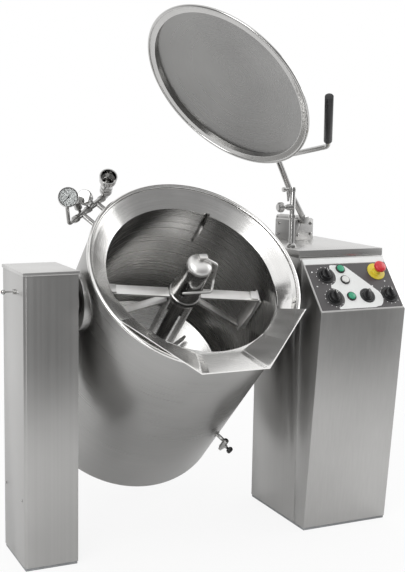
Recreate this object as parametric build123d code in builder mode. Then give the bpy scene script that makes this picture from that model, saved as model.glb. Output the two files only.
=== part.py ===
from build123d import *

import os
from math import atan2, cos, degrees, hypot, radians, sin, sqrt

# Steam jacketed tilting kettle with a bottom driven mixer and a hinged lid.
# Millimetres, +Z up, +Y away from the operator, +X to the control pillar.
# The frame's origin is on the floor under the middle of the kettle's box.

# ---------------------------------------------------------------- frame
KETTLE_X = -56.5          # kettle centreline, left to right
TRUNNION_Y = -164.75       # trunnion axis, front to back
TRUNNION_Z = 763.0        # trunnion axis above the floor

# ---------------------------------------------------------------- sheet and fits
SHEET = 2.0               # casing sheet
PLATE = 8.0               # floor plates
ANCHOR_R = 7.0            # floor anchor holes
RUNNING = 0.05            # radial clearance of a shaft in its bearing
GAP = 0.5                 # clearance between a moving piece and a fixed one

# ---------------------------------------------------------------- kettle
TILT = 47.06              # forward tilt of the kettle in this pose, degrees
RIM_RISE = 139.2          # rim plane above the trunnion axis
BOWL_R = 270.0            # inside of the bowl
RIM_R = BOWL_R + 68.0     # outside of the rolled rim
BEAD_R = 7.0              # section of the rolled rim
CASING_R = RIM_R - 3.0    # outer casing
BOWL_WALL = 4.0
BOWL_SIDE = 560.0         # depth of the straight wall
BOWL_DEPTH = 640.0
DRIVE_SPACE = 147.0       # room for the mixer's drive under the bowl
CASING_LENGTH = BOWL_DEPTH + DRIVE_SPACE
LEDGE = 28.0              # depth of the lid ledge under the rim plane
JACKET_R = BOWL_R + BOWL_WALL + 22.0
JACKET_TOP = 240.0        # depth of the jacket's upper edge
JACKET_WALL = 4.0
TUBE_R = 32.0             # centre tube, outside
TUBE_TOP = -BOWL_DEPTH + 60.0    # its ends, from the rim plane
TUBE_FOOT = -BOWL_DEPTH - 26.0
TRUNNION_R = 30.0
RING_HALF = 32.0          # half the width of the ring that carries the trunnions
BEARING_X = RIM_R + 82.0  # face of the bearing plate, from the centreline
TRUNNION_END = BEARING_X + 35.0
FLANGE_R = 85.0

# ---------------------------------------------------------------- support pillar (left)
LEFT_INNER = -RIM_R - 37.0       # face towards the kettle, from the centreline
LEFT_WIDTH = 160.0
LEFT_DEPTH = 221.0
LEFT_HEIGHT = 870.0
EDGE_FOLD = 7.0           # folded front corner
LEFT_ANCHORS = (110.0, 170.0)
RIGHT_ANCHORS = (250.0, 290.0)
CAP_OVER = 3.0            # overhang of the caps
CAP_LIP = 10.0

# ---------------------------------------------------------------- control pillar (right)
RIGHT_INNER = RIM_R + 37.0
RIGHT_WIDTH = 312.0
RIGHT_SEAM = -80.0        # joint between the casing and the front cover
RIGHT_BACK = 216.0
FRONT_FOOT = -141.8       # front cover at the floor
FRONT_TOP = -207.0        # front cover at the panel's lower edge
PANEL_LOW = 721.0         # height of the panel's lower edge
PANEL_HIGH_Y = -73.0
PANEL_HIGH = 875.0
CASING_TOP = 876.0
COVER_TOP = 900.0
COVER_FRONT = -66.0
SHELF = 6.0               # plate of the hinge console behind the casing
CONSOLE_DEPTH = 132.0
COVER_BACK = 360.0

# pouring lip, in the rim plane's own x, y
LIP_CORNER = (107.0, -371.0)
LIP_TIP = (300.0, -178.0)
LIP_FOLD = (60.0, 17.3)   # half width of the fold, and how far it starts from the bowl's wall
LIP_LAND = 4.0            # the other folds, from the bowl's wall
LIP_ANGLES = (209.75, 235.55)
LIP_RISE = 25.0           # outer edge above the rim plane
LIP_SHEET = 2.0

PROBE_AZIMUTH = 63.0
PROBE_FOOT = -180.0
PROBE_LENGTH = 148.0

# ---------------------------------------------------------------- mixer
SHAFT_R = 26.0            # drive shaft in the centre tube
CORE_R = 19.0             # shaft above the centre tube
HEAD_R = 40.0             # mixer head at its top
HEAD_FOOT_R = 48.0
HEAD_TOP = 16.0           # above the rim plane
HEAD_FOOT = -112.0
ARM_R = BOWL_R - 22.0      # out to the blades
ARM_H = -122.0
BLADE_FOOT = -300.0

# ---------------------------------------------------------------- lid
LID_R = BOWL_R + 31.4
LID_BEAD = 5.0
LID_OPEN = 51.0           # opening angle in this pose, degrees
HINGE_TURN = 19.1         # hinge line turned from the front to back direction
HINGE_REACH = RIM_R + 272.5       # hinge line to the middle of the lid
HINGE_Z = 973.0
LID_DROP = 68.0           # lid plane below the hinge line
LID_STEP = 18.2           # rim plane to the dome's edge
LID_CROWN = 62.0          # rise of the lid's dome
HINGE_PIN_R = 6.0
LID_ARM_R = 10.0
LID_ARM_SIDE = 36.0       # the arm stands this far behind the lid's middle at the hinge
GRIP_R = 13.5
HANDLE_R = 8.5
BLOCK_FRONT = 49.0        # hinge block, along the hinge line from the lid's middle
BLOCK_BACK = 143.0
BLOCK_NEAR = HINGE_REACH - 26.5   # hinge block, across the hinge line from the kettle's axis
BLOCK_FAR = HINGE_REACH + 67.5
BLOCK_TOP = HINGE_Z
BOSS_R = 13.0             # round housing of the pin along the block's top

# ---------------------------------------------------------------- controls, on the panel's x, v
KNOBS = {"knob_temperature": (64.0, 134.0), "knob_timer": (65.4, 51.0), "knob_speed": (273.0, 52.0)}
SELECTOR = (189.0, 53.0)
BUTTONS = {"button_start": (127.0, 157.0), "button_mix": (129.0, 53.0), "button_light": (129.0, 115.0)}
ESTOP = (257.0, 141.0)
KNOB_R = 21.0
BUTTON_R = 12.5
BEZEL_R = 16.0
ESTOP_COLLAR_R = 31.0
ESTOP_R = 20.0
PANEL_SHEET = 2.0
OVERLAY = 0.8
SPINDLE_R = 3.0

# ---------------------------------------------------------------- water tap
TAP = (RIGHT_INNER + 27.0, 34.0)  # from the kettle's centreline
TAP_R = 9.0
TAP_TOP = 1081.0
TAP_WHEEL_Z = 1031.0
TAP_BRANCH = 24.0


# ---------------------------------------------------------------- placing helpers
def local_plane(base, point, normal=(0, 0, 1), across=(1, 0, 0)):
    """A plane at a point of another plane, its normal and x given in that plane's own axes."""

    def turn(v):
        return base.x_dir * v[0] + base.y_dir * v[1] + base.z_dir * v[2]

    return Plane(origin=base.origin + turn(point), x_dir=turn(across), z_dir=turn(normal))


def rod(plane, radius, length, mode=Mode.ADD):
    """A cylinder standing on a plane."""
    with BuildSketch(plane) as face:
        Circle(radius)
    extrude(face.sketch, amount=length, mode=mode)


def block(plane, width, depth, height, mode=Mode.ADD):
    """A box standing on a plane, centred on the plane's origin."""
    with BuildSketch(plane) as face:
        Rectangle(width, depth)
    extrude(face.sketch, amount=height, mode=mode)


def turned(base, points, mode=Mode.ADD):
    """A ring turned about a plane's normal from (radius, height) points."""
    profile = Plane(origin=base.origin, x_dir=base.x_dir, z_dir=base.y_dir * -1)
    with BuildSketch(profile) as face:
        with BuildLine():
            Polyline(*points, close=True)
        make_face()
    revolve(face.sketch, axis=Axis(base.origin, base.z_dir), mode=mode)


def prism_x(points, x_from, x_to, mode=Mode.ADD):
    """A (y, z) outline run along X, both from the kettle's centreline and trunnion axis."""
    start = Plane(origin=(KETTLE_X + x_from, TRUNNION_Y, 0), x_dir=(0, 1, 0), z_dir=(1, 0, 0))
    with BuildSketch(start) as face:
        with BuildLine():
            Polyline(*points, close=True)
        make_face()
    extrude(face.sketch, amount=x_to - x_from, mode=mode)


def from_centre(x, y, z, normal=(0, 0, 1), across=(1, 0, 0)):
    """A plane at a place measured from the kettle's centreline and the trunnion axis."""
    return Plane(origin=(KETTLE_X + x, TRUNNION_Y + y, z), x_dir=across, z_dir=normal)


tilt = radians(TILT)
rim = Plane(
    origin=(KETTLE_X, TRUNNION_Y - RIM_RISE * sin(tilt), TRUNNION_Z + RIM_RISE * cos(tilt)),
    x_dir=(1, 0, 0),
    z_dir=(0, -sin(tilt), cos(tilt)),
)

turn, swing = radians(HINGE_TURN), radians(LID_OPEN)
hinge_out = Vector(cos(turn), sin(turn), 0)
lid_dir = hinge_out * -cos(swing) + Vector(0, 0, sin(swing))
lid_up = hinge_out * sin(swing) + Vector(0, 0, cos(swing))
# The lid's own plane: origin on the hinge line, x towards the lid's middle, y to its front,
# z out of its top.
lid = Plane(
    origin=(KETTLE_X + HINGE_REACH * cos(turn), TRUNNION_Y + HINGE_REACH * sin(turn), HINGE_Z),
    x_dir=lid_dir,
    z_dir=lid_up,
)
lid_middle = local_plane(lid, (HINGE_REACH, 0, -LID_DROP))
# The hinge block's plane: x across the hinge line, y along it to the back, z up.
hinge_base = Plane(origin=(KETTLE_X, TRUNNION_Y, 0), x_dir=tuple(hinge_out), z_dir=(0, 0, 1))

panel_length = hypot(PANEL_HIGH_Y - FRONT_TOP, PANEL_HIGH - PANEL_LOW)
panel_slope = atan2(PANEL_HIGH - PANEL_LOW, PANEL_HIGH_Y - FRONT_TOP)
# The panel's plane: origin at its lower left corner, x to the right, y up the slope.
panel = Plane(
    origin=(KETTLE_X + RIGHT_INNER, TRUNNION_Y + FRONT_TOP, PANEL_LOW),
    x_dir=(1, 0, 0),
    z_dir=(0, -sin(panel_slope), cos(panel_slope)),
)

pieces = {}

# ================================================================ support pillar
left_middle = LEFT_INNER - LEFT_WIDTH / 2

def left_outline(inset):
    """The pillar's plan with its front outer corner folded, moved in by an inset."""
    x0, x1 = LEFT_INNER - LEFT_WIDTH + inset, LEFT_INNER - inset
    y0, y1 = -LEFT_DEPTH / 2 + inset, LEFT_DEPTH / 2 - inset
    fold = EDGE_FOLD - 0.6 * inset
    return [(x0 + fold, y0), (x1, y0), (x1, y1), (x0, y1), (x0, y0 + fold)]


with BuildPart() as left_casing:
    for inset, mode in ((0.0, Mode.ADD), (SHEET, Mode.SUBTRACT)):
        with BuildSketch(from_centre(0, 0, PLATE)) as plan:
            with BuildLine():
                Polyline(*left_outline(inset), close=True)
            make_face()
        extrude(plan.sketch, amount=LEFT_HEIGHT - 4 - PLATE, mode=mode)
    rod(from_centre(LEFT_INNER - 10, 0, TRUNNION_Z, (1, 0, 0), (0, 1, 0)), TRUNNION_R + 8, 20, Mode.SUBTRACT)
pieces["left_casing"] = left_casing

with BuildPart() as left_cap:
    block(
        from_centre(left_middle, 0, LEFT_HEIGHT - CAP_LIP), LEFT_WIDTH + 2 * CAP_OVER,
        LEFT_DEPTH + 2 * CAP_OVER, CAP_LIP,
    )
    block(
        from_centre(left_middle, 0, LEFT_HEIGHT - CAP_LIP), LEFT_WIDTH + 2 * GAP,
        LEFT_DEPTH + 2 * GAP, CAP_LIP - 4, Mode.SUBTRACT,
    )
pieces["left_cap"] = left_cap


def floor_plate(x, y, width, depth, anchors):
    """A pillar's floor plate with its four anchor holes."""
    block(from_centre(x, y, 0), width, depth, PLATE)
    with Locations(from_centre(x, y, PLATE)):
        with GridLocations(*anchors, 2, 2):
            Hole(ANCHOR_R)


def bearing_channel(side):
    """The welded channel that stands on the floor plate and carries the trunnion bearing."""
    near = side * BEARING_X
    rise = LEFT_HEIGHT - 20 - PLATE
    block(from_centre(near + side * 5, 0, PLATE), 10, 150, rise)
    for edge in (-1, 1):
        block(from_centre(near + side * 40, edge * 72, PLATE), 60, 6, rise)
    rod(
        from_centre(near - side, 0, TRUNNION_Z, (side, 0, 0), (0, 1, 0)),
        TRUNNION_R + 14, 12, Mode.SUBTRACT,
    )


def bearing_unit(side):
    """A square flanged bearing with a bronze bush bore, on the channel's kettle side."""
    face = from_centre(side * BEARING_X, 0, TRUNNION_Z, (-side, 0, 0), (0, 1, 0))
    block(face, 124, 124, 12)
    rod(face, 46, 26)
    rod(from_centre(side * (BEARING_X + 10), 0, TRUNNION_Z, (-side, 0, 0), (0, 1, 0)), 43.5, 10)
    rod(
        from_centre(side * (BEARING_X + 12), 0, TRUNNION_Z, (-side, 0, 0), (0, 1, 0)),
        TRUNNION_R + RUNNING, 40, Mode.SUBTRACT,
    )
    bolts = from_centre(side * (BEARING_X - 12), 0, TRUNNION_Z, (-side, 0, 0), (0, 1, 0))
    with BuildSketch(bolts) as heads:
        with GridLocations(96, 96, 2, 2):
            RegularPolygon(8, 6)
    extrude(heads.sketch, amount=7)


with BuildPart() as left_frame:
    floor_plate(left_middle, 0, LEFT_WIDTH - 4, LEFT_DEPTH - 4, LEFT_ANCHORS)
    bearing_channel(-1)
pieces["left_frame"] = left_frame

with BuildPart() as trunnion_bearings:
    for side in (-1, 1):
        bearing_unit(side)
pieces["trunnion_bearings"] = trunnion_bearings

STUD = (-22.0, 806.0)
with BuildPart() as left_fittings:
    # vent stud with a round head on the outer face
    outward = from_centre(LEFT_INNER - LEFT_WIDTH, STUD[0], STUD[1], (-1, 0, 0), (0, 1, 0))
    rod(outward, 2.6, 34)
    with BuildSketch(outward) as nut:
        RegularPolygon(8, 6)
    extrude(nut.sketch, amount=9)
    with Locations(local_plane(outward, (0, 0, 35))):
        Sphere(7)
    # two domed cable unions on the face towards the kettle
    for z in (696.0, 677.0):
        inward = from_centre(LEFT_INNER, -66, z, (1, 0, 0), (0, 1, 0))
        with BuildSketch(inward) as nut:
            RegularPolygon(8.5, 6)
        extrude(nut.sketch, amount=9)
        turned(inward, [(0, 8), (7, 8), (7, 11), (5.5, 15), (3, 17), (0, 17.6)])
pieces["left_fittings"] = left_fittings

# ================================================================ control pillar
right_middle = RIGHT_INNER + RIGHT_WIDTH / 2
right_outer = RIGHT_INNER + RIGHT_WIDTH
foot_depth = RIGHT_BACK - FRONT_FOOT
foot_middle = (RIGHT_BACK + FRONT_FOOT) / 2
with BuildPart() as right_frame:
    floor_plate(right_middle, foot_middle, RIGHT_WIDTH - 4, foot_depth - 4, RIGHT_ANCHORS)
    bearing_channel(1)
pieces["right_frame"] = right_frame

with BuildPart() as right_casing:
    prism_x(
        [(RIGHT_SEAM, PLATE), (RIGHT_BACK, PLATE), (RIGHT_BACK, CASING_TOP), (COVER_FRONT, CASING_TOP),
         (RIGHT_SEAM, CASING_TOP - 15)],
        RIGHT_INNER, right_outer,
    )
    prism_x(
        [(RIGHT_SEAM + SHEET, PLATE - 1), (RIGHT_BACK - SHEET, PLATE - 1),
         (RIGHT_BACK - SHEET, CASING_TOP - SHEET), (COVER_FRONT + 1, CASING_TOP - SHEET),
         (RIGHT_SEAM + SHEET, CASING_TOP - 17)],
        RIGHT_INNER + SHEET, right_outer - SHEET, Mode.SUBTRACT,
    )
    rod(from_centre(RIGHT_INNER - 10, 0, TRUNNION_Z, (1, 0, 0), (0, 1, 0)), TRUNNION_R + 8, 20, Mode.SUBTRACT)
    # cooling slots low in the back wall
    for k in range(6):
        block(
            from_centre(right_middle, RIGHT_BACK - 5, 150 + 22 * k, (0, 1, 0), (1, 0, 0)),
            120, 8, 10, Mode.SUBTRACT,
        )
pieces["right_casing"] = right_casing

seam_gap = 0.8
slope_at = (PANEL_HIGH - PANEL_LOW) / (PANEL_HIGH_Y - FRONT_TOP)
cover_y = RIGHT_SEAM - seam_gap
cover_z = PANEL_LOW + slope_at * (cover_y - FRONT_TOP)
with BuildPart() as right_front_cover:
    prism_x(
        [(cover_y, PLATE), (FRONT_FOOT, PLATE), (FRONT_TOP, PANEL_LOW), (cover_y, cover_z)],
        RIGHT_INNER, right_outer,
    )
    prism_x(
        [(cover_y + 1, PLATE - 1), (FRONT_FOOT + SHEET, PLATE - 1), (FRONT_TOP + SHEET, PANEL_LOW - 1),
         (cover_y + 1, cover_z - 3)],
        RIGHT_INNER + SHEET, right_outer - SHEET, Mode.SUBTRACT,
    )
    for x, v in [*KNOBS.values(), SELECTOR, *BUTTONS.values(), ESTOP]:
        rod(local_plane(panel, (x, v, -6)), 11, 8, Mode.SUBTRACT)
pieces["right_front_cover"] = right_front_cover

with BuildPart() as control_panel:
    with BuildSketch(local_plane(panel, (RIGHT_WIDTH / 2, panel_length / 2, 0))) as plate:
        RectangleRounded(RIGHT_WIDTH - 1, panel_length - 2, 2)
    extrude(plate.sketch, amount=PANEL_SHEET)
    for x, v in [*KNOBS.values(), SELECTOR, *BUTTONS.values(), ESTOP]:
        rod(local_plane(panel, (x, v, -1)), SPINDLE_R + GAP, 4, Mode.SUBTRACT)
pieces["control_panel"] = control_panel

overlay_base = PANEL_SHEET
with BuildPart() as panel_overlay:
    with BuildSketch(local_plane(panel, (156, 92, overlay_base))) as face:
        RectangleRounded(302, 170, 1.5)
    extrude(face.sketch, amount=OVERLAY)
    for x, v in [*KNOBS.values(), SELECTOR, *BUTTONS.values(), ESTOP]:
        rod(local_plane(panel, (x, v, overlay_base - 1)), SPINDLE_R + GAP, 4, Mode.SUBTRACT)
    with BuildSketch(local_plane(panel, (156, 189, overlay_base))) as face:
        RectangleRounded(306, 20, 1.5)
    extrude(face.sketch, amount=OVERLAY)
pieces["panel_overlay"] = panel_overlay

cover_depth = COVER_BACK - COVER_FRONT
cover_middle = (COVER_BACK + COVER_FRONT) / 2
with BuildPart() as top_cover:
    block(
        from_centre(right_middle, cover_middle, CASING_TOP), RIGHT_WIDTH + 2 * CAP_OVER, cover_depth,
        COVER_TOP - CASING_TOP,
    )
    block(
        from_centre(right_middle, cover_middle, CASING_TOP), RIGHT_WIDTH - 6, cover_depth - 6,
        COVER_TOP - CASING_TOP - 3, Mode.SUBTRACT,
    )
pieces["top_cover"] = top_cover

with BuildPart() as tilt_gearmotor:
    block(from_centre(545, 0, TRUNNION_Z - 70), 90, 120, 130)
    rod(from_centre(545, 0, TRUNNION_Z - 270), 48, 200)
    rod(from_centre(545, 0, TRUNNION_Z - 276), 54, 10)
    block(from_centre(495, 0, TRUNNION_Z - 60), 12, 130, 100)
    rod(from_centre(480, 0, TRUNNION_Z, (1, 0, 0), (0, 1, 0)), TRUNNION_R + 4, 40, Mode.SUBTRACT)
    for edge in (-1, 1):
        block(from_centre(480, edge * 66, TRUNNION_Z - 40), 20, 6, 60)
pieces["tilt_gearmotor"] = tilt_gearmotor

block_middle = ((BLOCK_NEAR + BLOCK_FAR) / 2, (BLOCK_FRONT + BLOCK_BACK) / 2)
with BuildPart() as hinge_console:
    shelf = CASING_TOP - SHELF
    low, high = shelf - CONSOLE_DEPTH, shelf
    inner, outer = RIGHT_INNER + 75, right_outer - 25
    prism_x(
        [(RIGHT_BACK, shelf), (COVER_BACK - SHELF, shelf), (COVER_BACK - SHELF, CASING_TOP),
         (RIGHT_BACK, CASING_TOP)],
        inner, outer,
    )
    for x in (inner + 16, outer - 24):
        prism_x([(RIGHT_BACK, low), (RIGHT_BACK, high), (COVER_BACK - 20, high)], x, x + PLATE)
    prism_x(
        [(RIGHT_BACK, low), (RIGHT_BACK + SHELF, low), (RIGHT_BACK + SHELF, high), (RIGHT_BACK, high)],
        inner + 10, outer - 10,
    )
    # pad that fills the cover's hollow under the hinge block
    block(local_plane(hinge_base, (*block_middle, CASING_TOP)), 84, 84, COVER_TOP - CASING_TOP - 3)
pieces["hinge_console"] = hinge_console

with BuildPart() as hinge_block:
    block(
        local_plane(hinge_base, (*block_middle, COVER_TOP)), BLOCK_FAR - BLOCK_NEAR,
        BLOCK_BACK - BLOCK_FRONT, BLOCK_TOP - COVER_TOP,
    )
    chamfer(hinge_block.faces().sort_by(Axis.Z)[-1].edges(), 4)
    bore = local_plane(hinge_base, (HINGE_REACH, BLOCK_FRONT, HINGE_Z), (0, 1, 0), (1, 0, 0))
    rod(bore, BOSS_R, BLOCK_BACK - BLOCK_FRONT)
    rod(bore.offset(-5), HINGE_PIN_R + RUNNING, BLOCK_BACK - BLOCK_FRONT + 10, Mode.SUBTRACT)
pieces["hinge_block"] = hinge_block

with BuildPart() as fasteners:
    # bolts of the hinge block
    for x, z in ((BLOCK_NEAR + 12, 918), (BLOCK_FAR - 12, 918), (BLOCK_FAR - 12, 956)):
        face = local_plane(hinge_base, (x, BLOCK_FRONT, z), (0, -1, 0), (1, 0, 0))
        with BuildSketch(face) as head:
            RegularPolygon(6, 6)
        extrude(head.sketch, amount=4)
    for y, z in ((BLOCK_FRONT + 14, 918), (BLOCK_BACK - 14, 918), (BLOCK_BACK - 14, 956)):
        face = local_plane(hinge_base, (BLOCK_NEAR, y, z), (-1, 0, 0), (0, 1, 0))
        with BuildSketch(face) as head:
            RegularPolygon(6, 6)
        extrude(head.sketch, amount=4)
    # screws of the casings
    for y, z in ((92.0, 206.0), (-80.0, 204.0)):
        rod(from_centre(LEFT_INNER - LEFT_WIDTH, y, z, (-1, 0, 0), (0, 1, 0)), 4, 2)
    for y in (40.0, 180.0):
        for z in (60.0, 820.0):
            rod(from_centre(right_outer, y, z, (1, 0, 0), (0, 1, 0)), 4, 2)
    for x in (-60.0, 60.0):
        rod(from_centre(left_middle + x, LEFT_DEPTH / 2, 30, (0, 1, 0), (1, 0, 0)), 4, 2)
pieces["fasteners"] = fasteners

# ================================================================ controls
overlay_top = PANEL_SHEET + OVERLAY
knob_floor = overlay_top + 0.4


def knob(place, radius, height):
    """A round knob with a finger bar across it, on a spindle through the panel."""
    seat = local_plane(panel, (*place, knob_floor))
    with BuildSketch(seat) as skirt:
        Circle(radius)
    extrude(skirt.sketch, amount=5)
    with BuildSketch(local_plane(seat, (0, 0, 5))) as body:
        Circle(radius * 0.86)
    extrude(body.sketch, amount=height - 9, taper=6)
    with BuildSketch(local_plane(seat, (0, 0, height - 6))) as bar:
        SlotOverall(radius * 1.5, 9, rotation=90)
    extrude(bar.sketch, amount=6)
    rod(local_plane(seat, (0, 0, -12)), SPINDLE_R, 12.2)


for name, place in KNOBS.items():
    with BuildPart() as knob_piece:
        knob(place, KNOB_R, 24)
    pieces[name] = knob_piece

with BuildPart() as selector_switch:
    seat = local_plane(panel, (*SELECTOR, knob_floor))
    rod(seat, 18, 6)
    with BuildSketch(local_plane(seat, (0, 0, 6))) as lever:
        SlotOverall(34, 12, rotation=70)
    extrude(lever.sketch, amount=12)
    rod(local_plane(seat, (0, 0, -12)), SPINDLE_R, 12.2)
pieces["selector_switch"] = selector_switch

with BuildPart() as button_bezels:
    for place in BUTTONS.values():
        turned(
            local_plane(panel, (*place, overlay_top)),
            [(BUTTON_R + GAP, 0), (BEZEL_R, 0), (BEZEL_R, 3), (BEZEL_R - 1.5, 5), (BUTTON_R + GAP, 5)],
        )
pieces["button_bezels"] = button_bezels

for name, place in BUTTONS.items():
    with BuildPart() as button_piece:
        seat = local_plane(panel, (*place, overlay_top + 3.5))
        turned(seat, [(0, 0), (BUTTON_R, 0), (BUTTON_R, 2.5), (BUTTON_R - 1.5, 4), (0, 4.6)])
        rod(local_plane(seat, (0, 0, -12)), SPINDLE_R, 12.2)
    pieces[name] = button_piece

with BuildPart() as estop_collar:
    turned(
        local_plane(panel, (*ESTOP, overlay_top)),
        [(9, 0), (ESTOP_COLLAR_R, 0), (ESTOP_COLLAR_R, 2.5), (ESTOP_COLLAR_R - 3, 4), (15, 5), (13, 14),
         (9, 14)],
    )
pieces["estop_collar"] = estop_collar

with BuildPart() as estop_button:
    seat = local_plane(panel, (*ESTOP, overlay_top))
    rod(local_plane(seat, (0, 0, -9)), SPINDLE_R, 14)
    rod(local_plane(seat, (0, 0, 4.5)), 8, 18.4)
    turned(
        seat,
        [(0, 22.5), (ESTOP_R - 6, 22.5), (ESTOP_R, 26), (ESTOP_R, 33), (ESTOP_R - 3, 36.5),
         (ESTOP_R - 8, 38.5), (0, 39.5)],
    )
pieces["estop_button"] = estop_button

# ================================================================ water tap
with BuildPart() as tap_column:
    foot = from_centre(*TAP, COVER_TOP)
    turned(
        foot,
        [(0, 0), (16, 0), (16, 8), (11, 13), (TAP_R, 14), (TAP_R, 95), (12, 96), (12, 106), (TAP_R, 107),
         (TAP_R, TAP_TOP - COVER_TOP), (0, TAP_TOP - COVER_TOP)],
    )
    branch = from_centre(TAP[0], TAP[1], TAP_WHEEL_Z, (-1, 0, 0), (0, 1, 0))
    rod(branch, 8, TAP_BRANCH)
    rod(branch, 10.5, TAP_BRANCH - 6)
pieces["tap_column"] = tap_column

with BuildPart() as tap_handwheel:
    seat = from_centre(TAP[0] - TAP_BRANCH - GAP, TAP[1], TAP_WHEEL_Z, (-1, 0, 0), (0, 1, 0))
    rod(seat, 5, 14)
    turned(seat, [(0, 10), (12, 10), (16, 13), (17, 19), (16, 27), (11, 31), (0, 32)])
    with BuildSketch(local_plane(seat, (0, 0, 9))) as flutes:
        with PolarLocations(19.5, 6):
            Circle(5)
    extrude(flutes.sketch, amount=26, mode=Mode.SUBTRACT)
pieces["tap_handwheel"] = tap_handwheel

with BuildPart() as tap_spout:
    seat = from_centre(*TAP, TAP_TOP + GAP)
    rod(seat, TAP_R, 14)
    rod(from_centre(TAP[0], TAP[1], TAP_TOP + 7, (-1, 0, 0), (0, 1, 0)), 5.5, 32)
    turned(
        from_centre(TAP[0] - 17, TAP[1], TAP_TOP + 7),
        [(0, 2), (6.5, 2), (6.5, -12), (5.5, -16), (3, -38), (0, -38)],
    )
    rod(from_centre(TAP[0] - 30, TAP[1], TAP_TOP + 7, (-1, 0, 0), (0, 1, 0)), 7.5, 8)
pieces["tap_spout"] = tap_spout

# ================================================================ kettle body


def lip_block(lift):
    """The solid under the pouring lip's facets, as a ruled block lifted by some height."""
    inner_end, inner_mid = [
        ((BOWL_R + LIP_LAND) * cos(radians(a)), (BOWL_R + LIP_LAND) * sin(radians(a))) for a in LIP_ANGLES
    ]
    fold_y = -sqrt((BOWL_R + LIP_FOLD[1]) ** 2 - LIP_FOLD[0] ** 2)
    outer_mid = ((-LIP_TIP[0] - LIP_CORNER[0]) / 2, (LIP_TIP[1] + LIP_CORNER[1]) / 2)
    low = [inner_end, inner_mid, (-LIP_FOLD[0], fold_y)]
    high = [(-LIP_TIP[0], LIP_TIP[1]), outer_mid, (-LIP_CORNER[0], LIP_CORNER[1])]
    low += [(-x, y) for x, y in reversed(low)]
    high += [(-x, y) for x, y in reversed(high)]
    if lift:
        low = [(low[0][0], -60.0), *low, (low[-1][0], -60.0)]
        high = [(high[0][0], -60.0), *high, (high[-1][0], -60.0)]
    with BuildSketch(rim.offset(-LEDGE + lift)) as bottom:
        with BuildLine():
            Polyline(*low, close=True)
        make_face()
    with BuildSketch(rim.offset(LIP_RISE + lift)) as top:
        with BuildLine():
            Polyline(*high, close=True)
        make_face()
    return loft([bottom.sketch.face(), top.sketch.face()], ruled=True, mode=Mode.PRIVATE)


lip_solid = lip_block(0)
lip_hollow = lip_block(LIP_SHEET * 1.15)

with BuildPart() as kettle_rim:
    turned(
        rim,
        [(RIM_R - 12, -8), (RIM_R - 22, -25), (BOWL_R + 2, -LEDGE), (BOWL_R, -LEDGE - 2), (BOWL_R, -44),
         (BOWL_R + 3, -44), (BOWL_R + 3, -LEDGE - 3), (RIM_R - 20, -28), (RIM_R - 8, -10)],
    )
    profile = Plane(origin=rim.origin, x_dir=rim.x_dir, z_dir=rim.y_dir * -1)
    with BuildSketch(profile) as bead:
        with Locations((RIM_R - BEAD_R, -BEAD_R)):
            Circle(BEAD_R)
    revolve(bead.sketch, axis=Axis(rim.origin, rim.z_dir))
    add(lip_solid, mode=Mode.SUBTRACT)
pieces["kettle_rim"] = kettle_rim

with BuildPart() as pouring_lip:
    add(lip_solid)
    add(lip_hollow, mode=Mode.SUBTRACT)
    rod(rim.offset(-60), BOWL_R + 2, 120, Mode.SUBTRACT)
pieces["pouring_lip"] = pouring_lip

with BuildPart() as kettle_bowl:
    profile = Plane(origin=rim.origin, x_dir=rim.x_dir, z_dir=rim.y_dir * -1)
    with BuildSketch(profile) as wall:
        with BuildLine():
            Line((BOWL_R + BOWL_WALL, -44), (BOWL_R, -44))
            Line((BOWL_R, -44), (BOWL_R, -BOWL_SIDE))
            TangentArc((TUBE_R, -BOWL_DEPTH), (BOWL_R, -BOWL_SIDE), tangent=(1, 0))
            Polyline((TUBE_R, -BOWL_DEPTH), (TUBE_R, TUBE_TOP), (SHAFT_R + RUNNING, TUBE_TOP),
                     (SHAFT_R + RUNNING, TUBE_FOOT), (TUBE_R, TUBE_FOOT), (TUBE_R, -BOWL_DEPTH - BOWL_WALL))
            TangentArc(
                (TUBE_R, -BOWL_DEPTH - BOWL_WALL), (BOWL_R + BOWL_WALL, -BOWL_SIDE - 2), tangent=(1, 0),
            )
            Line((BOWL_R + BOWL_WALL, -BOWL_SIDE - 2), (BOWL_R + BOWL_WALL, -44))
        make_face()
    revolve(wall.sketch, axis=Axis(rim.origin, rim.z_dir))
pieces["kettle_bowl"] = kettle_bowl

jacket_in = JACKET_R - JACKET_WALL
jacket_side = -BOWL_SIDE - 6
jacket_low = TUBE_FOOT
with BuildPart() as steam_jacket:
    profile = Plane(origin=rim.origin, x_dir=rim.x_dir, z_dir=rim.y_dir * -1)
    bowl_out = BOWL_R + BOWL_WALL + 0.2
    with BuildSketch(profile) as wall:
        with BuildLine():
            Polyline(
                (jacket_in, jacket_side), (jacket_in, -JACKET_TOP - JACKET_WALL),
                (bowl_out, -JACKET_TOP - JACKET_WALL), (bowl_out, -JACKET_TOP), (JACKET_R, -JACKET_TOP),
                (JACKET_R, jacket_side),
            )
            TangentArc((TUBE_R + 12, jacket_low), (JACKET_R, jacket_side), tangent=(1, 0))
            Polyline(
                (TUBE_R + 12, jacket_low), (TUBE_R + 0.2, jacket_low),
                (TUBE_R + 0.2, jacket_low + JACKET_WALL), (TUBE_R + 12, jacket_low + JACKET_WALL),
            )
            TangentArc((TUBE_R + 12, jacket_low + JACKET_WALL), (jacket_in, jacket_side), tangent=(1, 0))
        make_face()
    revolve(wall.sketch, axis=Axis(rim.origin, rim.z_dir))
pieces["steam_jacket"] = steam_jacket

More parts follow.
